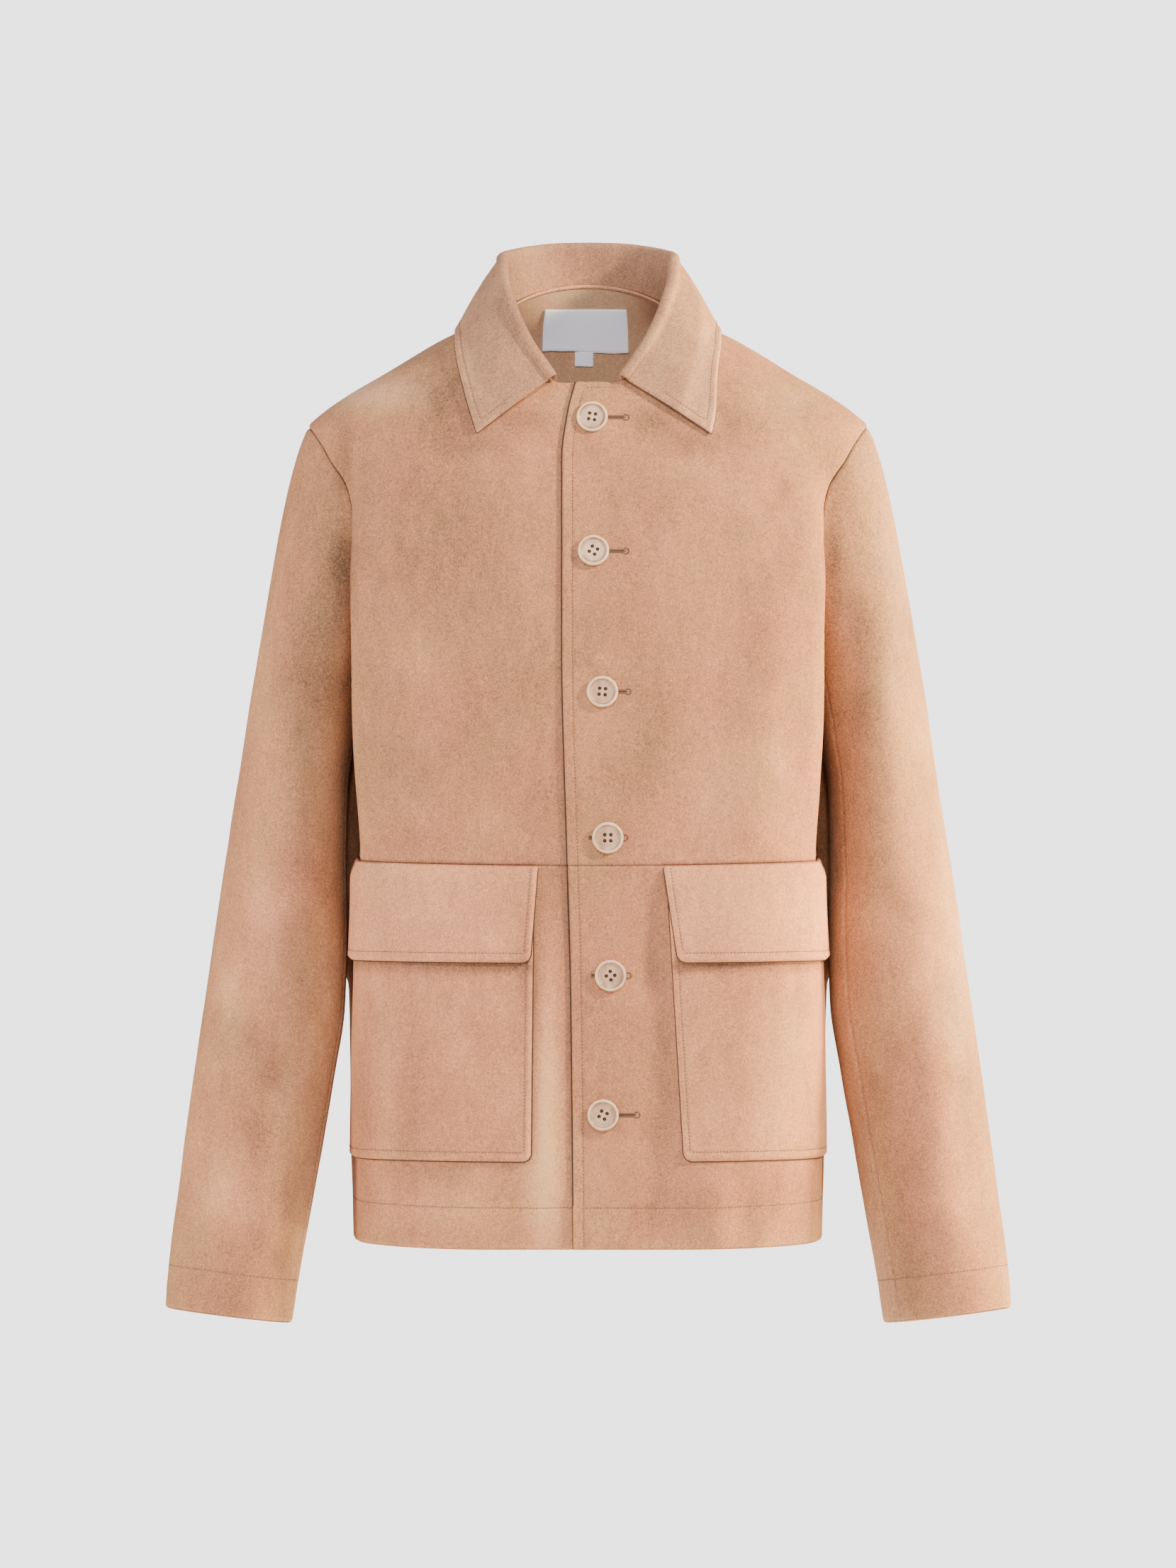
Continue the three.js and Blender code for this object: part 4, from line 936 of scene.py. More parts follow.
def upper_front(side):
    columns = shares_for(UPPER_SIZE[0], 14, 6)
    rows = shares_for(UPPER_SIZE[1], 5, 8)
    bottom_shares = np.interp(columns, np.linspace(0, 1, len(UPPER_SHARES)), UPPER_SHARES)
    bottom = pattern(cross_seam(side, waist_z, bottom_shares))
    top = pattern([top_place(side, c) for c in columns])
    left = pattern(free_edge(side, WAIST_Z, NECK_FRONT_Z, rows))
    right = pattern([side_place(side, r) for r in rows])
    filled = fill_panel(bottom, top, left, right, columns**3, rows**UPWARD_HOLD)
    return front_part(side, "upper", filled, "seam")


def lower_front(side):
    columns = shares_for(LOWER_SIZE[0], 14, 5)
    rows = shares_for(LOWER_SIZE[1], 5, 5)
    rows = with_fine(rows, HEM_TURN / LOWER_SIZE[1], LOWER_SIZE[1], 3)
    bottom = pattern(cross_seam(side, hem_z, columns))
    top = pattern(cross_seam(side, waist_z, columns))
    left = pattern(free_edge(side, HEM_Z, WAIST_Z, rows))
    right = pattern([(side * 1.0, lerp(float(hem_z(1.0)), float(waist_z(1.0)), t)) for t in rows])
    filled = fill_panel(bottom, top, left, right, columns, rows)
    return front_part(side, "lower", filled, HEM_TURN)


def back_neck_place(t):
    """The back neckline from the side neck point to the centre back."""
    rise = math.sin(t * math.pi / 2) ** 1.2
    return 1 + t, lerp(NECK_SIDE_Z, NECK_BACK_Z, rise)


SIDE_STRIPS_BELOW = 9
BACK_HEIGHT = 690
BACK_HALF_WIDTH = 262


def back_panel():
    """One piece from neck to hem, filled in coordinates measured from the centre back."""
    rows = shares_for(BACK_HEIGHT, 34, 8)
    columns = both_ways(shares_for(BACK_HALF_WIDTH, 0, 6))

    def from_centre(places):
        across, z = np.array(places, dtype=float).T
        size = np.abs(across)
        back = back_length(z)
        u = np.where(size > 1, (2 - size) * back, back + (1 - size) * front_length(z))
        return np.stack([np.where(across < 0, -u, u), z], axis=-1)

    upper_strips = sum(EDGE_STRIPS.values())
    total = SIDE_STRIPS_BELOW + upper_strips

    def edge_place(share):
        strip = share * total
        if strip < SIDE_STRIPS_BELOW:
            return 1.0, lerp(float(hem_z(1.0)), float(waist_z(1.0)), strip / SIDE_STRIPS_BELOW)
        return side_place(1, (strip - SIDE_STRIPS_BELOW) / upper_strips, is_back=True)

    def top_edge_place(share):
        strip = share * (TOP_STRIPS["neck"] + TOP_STRIPS["shoulder"]) - TOP_STRIPS["neck"]
        if strip < 0:
            return back_neck_place(-strip / TOP_STRIPS["neck"])
        return 1.0, lerp(NECK_SIDE_Z, SHOULDER_Z, strip / TOP_STRIPS["shoulder"])

    signs = np.where(columns < 0, -1.0, 1.0)
    right = from_centre([edge_place(r) for r in rows])
    top = from_centre([top_edge_place(abs(c)) for c in columns])
    top[:, 0] *= signs
    bottom = from_centre([(a, float(hem_z(a))) for a in signs * (2 - np.abs(columns))])
    weight = 0.5 + 0.5 * signs * np.abs(columns) ** 3
    mirror = np.array([-1.0, 1.0])
    filled = fill_panel(bottom, top, right * mirror, right, weight, rows**UPWARD_HOLD)
    u, z = filled[..., 0], filled[..., 1]
    back = back_length(z)
    size = np.abs(u)
    across = np.where(size <= back, 2 - size / back, 1 - (size - back) / front_length(z))
    across, z = draw_back(np.where(u < 0, -across, across), z, SEAM_GAP / 2)
    edges = {"left": "seam", "right": "seam", "bottom": HEM_TURN, "top": "seam"}
    return panel("back", across, z, np.zeros(across.shape), edges)


def sleeve_ring(turn, z):
    inner, outer = sleeve["inner"](z), sleeve["outer"](z)
    front, rear = sleeve["front"](z), sleeve["back"](z)
    angle = turn * 2 * np.pi
    middle = (inner + outer) / 2
    x = middle + (outer - inner) / 2 * np.cos(angle)
    y = (front + rear) / 2 - (rear - front) / 2 * np.sin(angle)
    rise = (x - middle) * np.tan(np.radians(sleeve["tilt"](z)))
    return np.stack([x, y, z + rise], axis=-1)


SLEEVE_AXIS = np.array([0.16, 0, -0.987])
# How a sleeve leaves the armhole, each from under the arm to the shoulder.
HEAD_SIDEWAYS = (0.75, 0.62)
HEAD_DOWN = (0.66, 0.78)
HEAD_PULL = (0.5, 0.3)


def sleeve_head(turns, shares):
    """Curves from the armhole to the first ring."""
    places = np.array([armhole_place(float(turn)) for turn in turns])
    top = (1 + np.cos(turns * 2 * np.pi)) / 2
    sideways, down = lerp(*HEAD_SIDEWAYS, top), lerp(*HEAD_DOWN, top)
    leave = normalized(np.stack([sideways, np.zeros(len(turns)), -down], axis=-1))
    clear = lerp(UNDERARM_CLEAR, SEAM_GAP, np.sqrt(top))
    start = torso_point(places[:, 0], places[:, 1]) + leave * SEAM_GAP / 2
    start[:, 0] += clear - SEAM_GAP / 2
    end = sleeve_ring(turns, np.full(len(turns), float(SLEEVE_TOP_Z)))
    span = np.linalg.norm(end - start, axis=-1, keepdims=True)
    pull = lerp(*HEAD_PULL, top)[:, None] * span
    return hermite(start, leave * pull, end, SLEEVE_AXIS * span, np.asarray(shares)[:, None, None])


CUFF_STITCH = 31
SLEEVE_HEAD_RUN = 120
SLEEVE_TURNS = 84
SEAM_REACH = 7
LONG_SEAM_DROP = 0.7
LONG_SEAM_SWELL = 0.25
# The long seam's groove gets painted shade, and folds are painted lighter on ridges and darker in hollows.
LONG_SEAM_SHADE = 0.35
FOLD_RELIEF_SHADE = 0.03
# How much painted shade darkens the side by the body, and how wide the paler painted colour reaches on
# either side: paler painted shade by the body and a painted rim highlight on the outer side.
SHADED_SIDE = 1.0
SHADED_WIDTH = 0.125
PALE_SIDE_WIDTH = 0.15
SHADE_PALE_INSIDE = 0.85
RIM_HIGHLIGHT_OUTSIDE = {"left": 0.65, "right": 0.12}
# How much lighter the lower side by the body is painted, painted light.
LOWER_SIDE_LIGHT = 0.1
# The heights over which these come in, the last two as depths below the neck.
SHADED_FROM = (-500, -400)
SHADED_TO = (170, 215)
LOWER_FROM = (440, 540)
SLEEVE_INSIDE_TONE = -0.25


def sleeve_tube(side):
    """A sleeve, worked out on the wearer's left and mirrored where it is the right one."""
    word = SIDES[side]
    seam = SLEEVE_SEAM_TURN[word]
    turns = np.linspace(0, 1, SLEEVE_TURNS, endpoint=False)
    turns = with_fine(turns[np.abs(turns - seam) > SEAM_REACH / SLEEVE_GIRTH], seam, SLEEVE_GIRTH, 5)
    head_shares = shares_for(SLEEVE_HEAD_RUN, 8, 0)[:-1]
    length = SLEEVE_TOP_Z - CUFF_Z
    down = with_fine(shares_for(length, 0, 4), 1 - CUFF_STITCH / length, length, 3)
    levels = SLEEVE_TOP_Z - down * length
    rings = sleeve_ring(turns[None, :], np.repeat(levels[:, None], len(turns), axis=1))
    smooth = np.concatenate([sleeve_head(turns, head_shares), rings])
    normal = grid_normals(smooth, is_tube=True)
    normal *= np.sign(normal[len(head_shares), 0, 0])
    around, z = turns[None, :] * SLEEVE_GIRTH, smooth[..., 2]
    fade = smoothstep(np.arange(len(smooth)) / len(head_shares), 0, 0.5)[:, None]
    folds = [(a * SLEEVE_GIRTH, b, c * SLEEVE_GIRTH, d, e, f) for a, b, c, d, e, f in SLEEVE_FOLDS[word]]
    relief = fold_height(folds, around, z, SLEEVE_GIRTH)
    relief = (relief + cloth_unevenness(around, z, SLEEVE_SEEDS[word])) * fade
    base = smooth + normal * relief[..., None]
    distances = edge_distances(base)
    edges = {"bottom": "seam", "top": CUFF_STITCH}
    seam_away = (turns - seam)[None, :] * SLEEVE_GIRTH
    detail = edge_relief(distances, edges) - LONG_SEAM_DROP * bump(seam_away, 1.3)
    detail = detail + LONG_SEAM_SWELL * bump(seam_away - 4, 2.5)
    thick = lerp(SUEDE, 2 * SUEDE, smoothstep(CUFF_STITCH + 2 - distances["top"], 0, 2))
    flip = np.array([side, 1.0, 1.0])
    outer = (base + normal * detail[..., None]) * flip
    inner = (base - normal * thick[..., None]) * flip
    tone = nap_and_light_tone(outer) + edge_shade_and_highlight(distances, edges)
    # Painted shade: folds lighter on their ridges and darker in hollows, and dark in the long seam's groove.
    tone = tone + FOLD_RELIEF_SHADE * relief - LONG_SEAM_SHADE * bump(seam_away, 0.8)
    # Painted shade on the side by the body, painted light lower down, and paler painted colour by the body
    # and along the outer side as a rim highlight.
    beside = smoothstep(z, *SHADED_FROM) * smoothstep(-z, *SHADED_TO)
    tone = tone - SHADED_SIDE * bump(turns - 0.5, SHADED_WIDTH)[None, :] * beside
    by_body = bump(turns - 0.5, PALE_SIDE_WIDTH)[None, :]
    tone = tone + LOWER_SIDE_LIGHT * by_body * smoothstep(-z, *LOWER_FROM)
    outside = bump(np.minimum(turns, 1 - turns), PALE_SIDE_WIDTH)[None, :]
    sheen_and_cast = SHADE_PALE_INSIDE * by_body + RIM_HIGHLIGHT_OUTSIDE[word] * outside
    piece = cloth_mesh("suede_sleeve_" + word, outer, inner, tone, SLEEVE_INSIDE_TONE, is_tube=True)
    mark_sheen_and_cast(piece, np.broadcast_to(sheen_and_cast, tone.shape))
    return sewn(piece, "sleeve_" + word, outer, inner, normal * flip, distances)


def neckline_place(k):
    """The whole neckline, from -1 at the right collar end through 0 behind to 1 at the left."""
    size = abs(k)
    if size < NECK_BACK_SHARE:
        across, z = back_neck_place(1 - size / NECK_BACK_SHARE)
    else:
        t = (size - NECK_BACK_SHARE) / (1 - NECK_BACK_SHARE)
        across, z = float(neckline["across"](t)), float(neckline["z"](t))
    return math.copysign(across, k), z


CLEAR_PASSES = 4
SLOPE_REACH = 0.5


def clear_of_torso(points, least):
    """Lifts points straight out of the torso until they clear it."""

    def level(p):
        x, y, z = p[..., 0], p[..., 1], p[..., 2]
        depth = np.where(y > 0, torso["back"](z), torso["front"](z))
        power = np.where(y > 0, torso["square_back"](z), torso["square_front"](z))
        return (np.abs(x) / torso["half"](z)) ** power + (np.abs(y) / depth) ** power - 1

    lifted = points.copy()
    for _ in range(CLEAR_PASSES):
        slope = np.stack([
            (level(lifted + offset) - level(lifted - offset)) / (2 * SLOPE_REACH)
            for offset in np.eye(3) * SLOPE_REACH
        ], axis=-1)
        size = np.linalg.norm(slope, axis=-1)
        need = np.maximum(least - level(lifted) / size, 0)
        lifted += slope / size[..., None] * need[..., None]
    return lifted


COLLAR_STITCH = 6
COLLAR_LIT_SIDE = 0.22
COLLAR_STAND_SHADE = 0.3
COLLAR_TURN = 3.5
COLLAR_HALF = 205
COLLAR_FALL = 70
STATION_STEP = 0.02
STAND_SHARES = (0, 0.03, 0.07, 0.15, 0.3, 0.45, 0.6, 0.75, 0.88)


def collar_leaf():
    """The collar as one leaf: up from the neck seam, over the fold and down to its edge."""
    stations = both_ways(shares_for(COLLAR_HALF, 0, 13))

    def line(part, k):
        at = np.abs(k)
        skew = COLLAR_SKEW * smoothstep(at, 0.7, 1) * (k > 0) * (part == "edge")
        x = np.where(k < 0, -1.0, 1.0) * collar_line[part + "_x"](at) + skew
        return np.stack([x, collar_line[part + "_y"](at), collar_line[part + "_z"](at)], axis=-1)

    places = np.array([neckline_place(float(k)) for k in stations])
    seam = smooth_torso(places[:, 0], places[:, 1])
    seam = seam - torso_normal(places[:, 0], places[:, 1]) * SUEDE / 2
    fold, edge = line("fold", stations), line("edge", stations)
    ahead = line("fold", np.minimum(stations + STATION_STEP, 1))
    behind = line("fold", np.maximum(stations - STATION_STEP, -1))
    along = normalized(ahead - behind)
    outward = edge - seam
    outward = normalized(outward - along * np.sum(outward * along, axis=-1, keepdims=True))
    upward = normalized(np.cross(along, outward))
    upward = np.where(upward[:, 2:] < 0, -upward, upward)
    centre = fold - upward * COLLAR_FOLD
    inside = centre - outward * COLLAR_FOLD
    start = seam + normalized(inside - seam) * (SEAM_GAP + DOUBLE / 2)
    rows = [lerp(start, inside, t) for t in STAND_SHARES]
    for turn in np.radians(np.arange(0, 181, 20)):
        rows.append(centre + COLLAR_FOLD * (upward * math.sin(turn) - outward * math.cos(turn)))
    fall_start = rows[-1]
    for t in shares_for(COLLAR_FALL, 0, 11, coarse_step=4)[1:]:
        crown = lerp(fall_start, edge, t) + upward * COLLAR_CROWN * math.sin(math.pi * t)
        rows.append(clear_of_torso(crown, COLLAR_LIFT))
    middle = np.stack(rows, axis=1)
    normal = grid_normals(middle)
    if normal[len(stations) // 2, -1, 1] < 0:
        normal = -normal
    distances = edge_distances(middle)
    from_seam = distances["left"]
    x = np.broadcast_to((stations * COLLAR_HALF)[:, None], middle.shape[:2])
    wave = 0.35 * soft_noise(x, from_seam, 31, 71) + 0.12 * soft_noise(x, from_seam, 11, 72)
    edges = {"right": COLLAR_STITCH, "bottom": COLLAR_STITCH, "top": COLLAR_STITCH}
    relief = edge_relief(distances, edges)
    on_fall = smoothstep(from_seam - from_seam.max() * 0.5, 0, 6)
    edge_near = np.minimum(np.minimum(distances["bottom"], distances["top"]), distances["right"])
    half_thick = DOUBLE / 2 * lerp(0.55, 1, smoothstep(edge_near, 0, 2.2))
    outer = middle + normal * (half_thick + (wave + relief) * on_fall)[..., None]
    inner = middle - normal * (half_thick - wave * on_fall)[..., None]
    tone = 0.16 * soft_noise(x, from_seam * 1.2, 40, 73) + edge_shade_and_highlight(distances, edges) * on_fall
    # One leaf is painted lighter and the other darker, painted light from one side, and the stand inside the
    # neck gets painted shade.
    sideways = COLLAR_LIT_SIDE * np.clip(stations * COLLAR_TURN, -1, 1)[:, None]
    tone = tone + sideways * on_fall - COLLAR_STAND_SHADE * (1 - on_fall)
    piece = cloth_mesh("suede_collar", outer, inner, tone + 0.12, tone - 0.05)
    return sewn(piece, "collar", outer, inner, normal, distances)


def pocket_belly(t, down):
    return POCKET_BELLY * np.sin(np.pi * t) * smoothstep(1 - down, 0, 0.5)


PATCH_STITCH = 6.5
PATCH_SIDE_STITCH = 4.6
PATCH_CORNER = 5.0
PATCH_WIDTH = 200
PATCH_WAVES = 160
PATCH_WAVE_HEIGHT = 0.3
PATCH_ROUNDING = 0.3
PATCH_EDGE_SHARE = 0.6
PATCH_TONE = 0.3
PATCH_INSIDE_TONE = -0.2
FLAP_TONE = 0.2
FLAP_TOP = 1.0
FLAP_SHADOW = 0.8


def patch(kind, side, drop, bottom, inner_edges, lift, stitched, seed):
    """A pocket or flap that lies on a front, from its inner edge to just before the side seam. drop
    is how far its top is under the waist seam, bottom its bottom's height and how far it rises."""
    word = SIDES[side]
    top_at = lambda across: waist_z(across) - drop
    bottom_at = lambda across: bottom[0] + bottom[1] * across**2
    top_z, bottom_z = float(top_at(0.0)), float(bottom_at(0.0))
    height = top_z - bottom_z
    columns = shares_for(PATCH_WIDTH, 10, 8, coarse_step=4)
    rows = shares_for(height, 4, 10, coarse_step=4)
    down, t = np.meshgrid(rows, columns, indexing="ij")
    starts = np.array([across_at(lerp(*inner_edges[word], d), lerp(top_z, bottom_z, d)) for d in rows])
    across = lerp(starts[:, None], side * POCKET_END, t)
    z = lerp(top_at(across), bottom_at(across), down)
    out = lift(t, down) + PATCH_WAVE_HEIGHT * soft_noise(t * PATCH_WAVES, down * height, 34, seed)
    base = torso_point(across, z, out)
    distances = edge_distances(base)
    normal = grid_normals(base)
    turned_in = np.sum(normal * torso_normal(across, z), axis=-1, keepdims=True) < 0
    normal = np.where(turned_in, -normal, normal)
    from_left, from_top = (np.clip(1 - distances[name] / PATCH_CORNER, 0, 1) for name in ("left", "top"))
    inward = normalized(base[:, 1:2] - base[:, 0:1]) + normalized(base[-2:-1] - base[-1:])
    base = base + inward * (from_left * from_top * PATCH_CORNER * PATCH_ROUNDING)[..., None]
    near = np.minimum(distances["left"], distances["top"])
    thick = DOUBLE * lerp(PATCH_EDGE_SHARE, 1, smoothstep(near, 0, 2.0))
    outer = base + normal * (thick + edge_relief(distances, stitched))[..., None]
    tone = nap_and_light_tone(outer) + edge_shade_and_highlight(distances, stitched) + PATCH_TONE
    if kind == "flap":
        tone = tone + FLAP_TONE
    else:
        # Painted shadow on the pocket just below the flap's edge.
        tone = tone - FLAP_SHADOW * bump(z - (FLAP_BOTTOM_Z + FLAP_RISE * across**2) + 3, 5)
    node = "%s_%s" % (kind, word)
    piece = cloth_mesh("suede_" + node, outer, base, tone, PATCH_INSIDE_TONE)
    mark_sheen_and_cast(piece)
    return sewn(piece, node, outer, base, normal, distances)


def pocket(side):
    lift = lambda t, down: LAY_GAP + pocket_belly(t, down)
    edges = {"left": PATCH_SIDE_STITCH, "top": PATCH_STITCH}
    bottom = (POCKET_BOTTOM_Z, POCKET_RISE)
    return patch("pocket", side, POCKET_TOP, bottom, POCKET_EDGES, lift, edges, 80 + side)


def flap(side):
    def lift(t, down):
        over_pocket = LAY_GAP + pocket_belly(t, 0) + DOUBLE + LAY_GAP
        stand = FLAP_LIFT * down**2 * (1 - t**3)
        wave = 0.8 * np.sin(t * 9 + side) * down**2 * (1 - t)
        return lerp(LAY_GAP, over_pocket, smoothstep(down, 0, 0.17)) + stand + wave

    edges = {"left": PATCH_SIDE_STITCH, "top": PATCH_STITCH, "bottom": "seam"}
    bottom = (FLAP_BOTTOM_Z, FLAP_RISE)
    return patch("flap", side, FLAP_TOP, bottom, FLAP_EDGES, lift, edges, 90 + side)


# Stitches
STITCH_PITCH = 2.5
STITCH_LENGTH = 1.7
STITCH_RADIUS = 0.3
STITCH_SIDES = 5
STITCH_LIFT = 0.05


def line_at(made, side, offset, margins):
    """The line on a panel that keeps an offset from one edge, with the normals along it. margins
    gives how far it stays from other edges."""
    outer, normal, distances = made["outer"], made["normal"], made["distances"]
    flip = side in ("bottom", "top")
    swap = (lambda a: np.swapaxes(a, 0, 1)) if flip else (lambda a: a)
    grid, facing, away = swap(outer), swap(normal), swap(distances[side])
    others = {name: swap(distances[name]) for name in margins}
    points, normals = [], []
    for row in range(len(grid)):
        order = np.argsort(away[row])
        d = away[row][order]
        pick = lambda values: np.array([np.interp(offset, d, values[row][order][:, k]) for k in range(3)])
        if any(np.interp(offset, d, others[name][row][order]) < margins[name] for name in margins):
            continue
        points.append(pick(grid))
        normals.append(pick(facing))
    return np.array(points), normalized(np.array(normals))


def angles_round(count):
    return np.arange(count) * 2 * np.pi / count


def rod_faces(rings, sides):
    """The walls and the two ends of a rod made of rings of points."""
    ring = np.arange(sides)
    return grid_faces(rings, sides, 0, True), np.array([ring[::-1], ring + (rings - 1) * sides])


def along_line(points):
    """How long a line of points is, and a function that reads values at places along it."""
    run = np.concatenate([[0], np.cumsum(np.linalg.norm(np.diff(points, axis=0), axis=-1))])
    take = lambda at, values: np.stack([np.interp(at, run, values[:, k]) for k in range(3)], axis=-1)
    return run[-1], take


def capsules(starts, ends, normals, radius):
    """One mesh's points and faces for many short threads, each pressed into the cloth."""
    along = normalized(ends - starts)
    across = normalized(np.cross(normals, along))
    up = np.cross(along, across)
    profile = [(0.0, 0.35), (0.12, 0.85), (0.5, 1.0), (0.88, 0.85), (1.0, 0.35)]
    rings = []
    for share, wide in profile:
        centre = lerp(starts, ends, share) + normals * radius * (0.5 * math.sin(math.pi * share))
        for angle in angles_round(STITCH_SIDES):
            rings.append(centre + (across * math.cos(angle) + up * math.sin(angle)) * radius * wide)
    points = np.stack(rings, axis=1).reshape(-1, 3)
    walls, caps = rod_faces(len(profile), STITCH_SIDES)
    base = (np.arange(len(starts)) * len(rings))[:, None, None]
    return points, [*(walls + base).reshape(-1, 4), *(caps + base).reshape(-1, STITCH_SIDES)]


def stitch_run(points, normals):
    """Starts, ends and normals of evenly spaced stitches along a line."""
    length, take = along_line(points)
    at = np.arange(STITCH_PITCH / 2, length - STITCH_LENGTH, STITCH_PITCH)
    return take(at, points), take(at + STITCH_LENGTH, points), normalized(take(at, normals))


def stitches(name, runs, material, radius=STITCH_RADIUS):
    starts, ends, normals = (np.concatenate(values) for values in zip(*runs))
    lift = normals * STITCH_LIFT
    points, faces = capsules(starts + lift, ends + lift, normals, radius)
    return dress(mesh_piece(name, points, faces), material)


# Materials
def new_material(name):
    """A material with its nodes, its shader and the coordinates that its patterns lie in."""
    material = bpy.data.materials.new(name)
    material.use_nodes = True
    tree = material.node_tree
    tree.nodes.clear()
    out = tree.nodes.new("ShaderNodeOutputMaterial")
    shader = tree.nodes.new("ShaderNodeBsdfPrincipled")
    tree.links.new(shader.outputs["BSDF"], out.inputs["Surface"])
    return material, tree, shader, tree.nodes.new("ShaderNodeTexCoord").outputs["Object"]


def set_inputs(node, values):
    for name, value in values.items():
        node.inputs[name].default_value = value


def point_value(tree, name):
    """What each point of a piece carries under a name."""
    node = tree.nodes.new("ShaderNodeAttribute")
    node.attribute_name = name
    return node.outputs["Fac"]


def noise(tree, place, scale, detail=2.0, rough=0.5, stretch=(1, 1, 1), offset=(0, 0, 0)):
    mapping = tree.nodes.new("ShaderNodeMapping")
    set_inputs(mapping, {"Scale": stretch, "Location": offset})
    tree.links.new(place, mapping.inputs["Vector"])
    node = tree.nodes.new("ShaderNodeTexNoise")
    set_inputs(node, {"Scale": scale, "Detail": detail, "Roughness": rough})
    tree.links.new(mapping.outputs["Vector"], node.inputs["Vector"])
    return node.outputs["Fac"]


def add_bump(tree, shader, height, strength, distance):
    node = tree.nodes.new("ShaderNodeBump")
    set_inputs(node, {"Strength": strength, "Distance": distance})
    tree.links.new(height, node.inputs["Height"])
    tree.links.new(node.outputs["Normal"], shader.inputs["Normal"])


def math_node(tree, operation, a, b):
    node = tree.nodes.new("ShaderNodeMath")
    node.operation = operation
    for socket, value in zip(node.inputs, (a, b)):
        if isinstance(value, (int, float)):
            socket.default_value = value
        else:
            tree.links.new(value, socket)
    return node.outputs[0]


def ramp(tree, value, stops):
    node = tree.nodes.new("ShaderNodeValToRGB")
    ramp_points = node.color_ramp.elements
    while len(ramp_points) < len(stops):
        ramp_points.new(0.5)
    for element, (at, colour) in zip(ramp_points, stops):
        element.position = at
        element.color = (*colour, 1)
    tree.links.new(value, node.inputs["Fac"])
    return node.outputs["Color"]


def suede_material(name, offset, stops):
    """Napped leather: cloudy brushed patches, a fine grain and a soft bloom at grazing angles."""
    material, tree, shader, place = new_material(name)
    clouds = noise(tree, place, 11, 3.0, 0.55, (1, 1, 0.75), offset)
    patches = noise(tree, place, 38, 3.0, 0.6, (1, 1, 0.6), offset)
    brushed = noise(tree, place, 120, 2.0, 0.6, (1, 1, 0.35), offset)
    fleck = noise(tree, place, 330, 2.0, 0.6)
    grain = noise(tree, place, 780, 2.0, 0.7)
    level = math_node(tree, "MULTIPLY", point_value(tree, "tone"), TONE_SHARE)
    for source, share in ((clouds, 0.3), (patches, 0.25), (brushed, 0.22), (fleck, 0.35), (grain, 1.1)):
        centred = math_node(tree, "SUBTRACT", source, 0.5)
        level = math_node(tree, "ADD", level, math_node(tree, "MULTIPLY", centred, share))
    level = math_node(tree, "ADD", level, 0.5)
    wander = noise(tree, place, 16, 2.0, 0.5, (1, 1, 0.8), offset[::-1])
    cast = math_node(tree, "ADD", wander, point_value(tree, "sheen_and_cast"))
    cast = math_node(tree, "MULTIPLY", cast, 0.5)
    tinted = tree.nodes.new("ShaderNodeMix")
    tinted.data_type = "RGBA"
    tinted.blend_type = "MULTIPLY"
    set_inputs(tinted, {"Factor": 1.0})
    tree.links.new(ramp(tree, level, stops), tinted.inputs["A"])
    tree.links.new(ramp(tree, cast, CAST_STOPS), tinted.inputs["B"])
    tree.links.new(tinted.outputs["Result"], shader.inputs["Base Color"])
    height = math_node(tree, "ADD", math_node(tree, "MULTIPLY", grain, 0.6),
                       math_node(tree, "MULTIPLY", fleck, 0.5))
    add_bump(tree, shader, height, 0.35, 0.0005)
    set_inputs(shader, {
        "Roughness": 0.95, "Specular IOR Level": 0.05, "Sheen Weight": 0.05, "Sheen Roughness": 0.45,
        "Sheen Tint": (1.0, 0.75, 0.55, 1),
    })
    return material


def thread_material(name, dark, light):
    material, tree, shader, place = new_material(name)
    twist = noise(tree, place, 1500, 1.0, 0.5)
    tree.links.new(ramp(tree, twist, [(0.3, dark), (0.7, light)]), shader.inputs["Base Color"])
    set_inputs(shader, {"Roughness": 0.7})
    return material


def horn_material():
    """Polished imitation horn: a cream rim, a pinkish dish and faint cloudy depth."""
    material, tree, shader, place = new_material("button_horn")
    cloud = math_node(tree, "SUBTRACT", noise(tree, place, 160, 3.0, 0.6, (1, 1, 0.5)), 0.5)
    level = math_node(tree, "ADD", point_value(tree, "tone"), math_node(tree, "MULTIPLY", cloud, 0.7))
    tree.links.new(ramp(tree, level, HORN_STOPS), shader.inputs["Base Color"])
    set_inputs(shader, {
        "Roughness": 0.4, "Specular IOR Level": 0.3, "Coat Weight": 0.12, "Coat Roughness": 0.15,
        "Subsurface Weight": 0.08, "Subsurface Scale": 0.002,
    })
    return material


# The ribbon glows a little, painted light that lifts it in the shade inside the neck.
RIBBON_PAINTED_GLOW = 0.3


def label_material():
    """Fine woven ribbon, with its threads as a small bump."""
    material, tree, shader, place = new_material("label_ribbon")
    weave = noise(tree, place, 900, 1.0, 0.5, (1, 1, 0.2))
    cloud = noise(tree, place, 60, 2.0)
    level = math_node(tree, "ADD", math_node(tree, "MULTIPLY", weave, 0.4),
                      math_node(tree, "MULTIPLY", cloud, 0.5))
    tree.links.new(ramp(tree, level, RIBBON_STOPS), shader.inputs["Base Color"])
    add_bump(tree, shader, weave, 0.3, 0.0002)
    set_inputs(shader, {
        "Roughness": 0.55, "Sheen Weight": 0.1, "Emission Color": (0.66, 0.76, 1.0, 1),
        "Emission Strength": RIBBON_PAINTED_GLOW,
    })
    return material


TONE_SHARE = 0.42
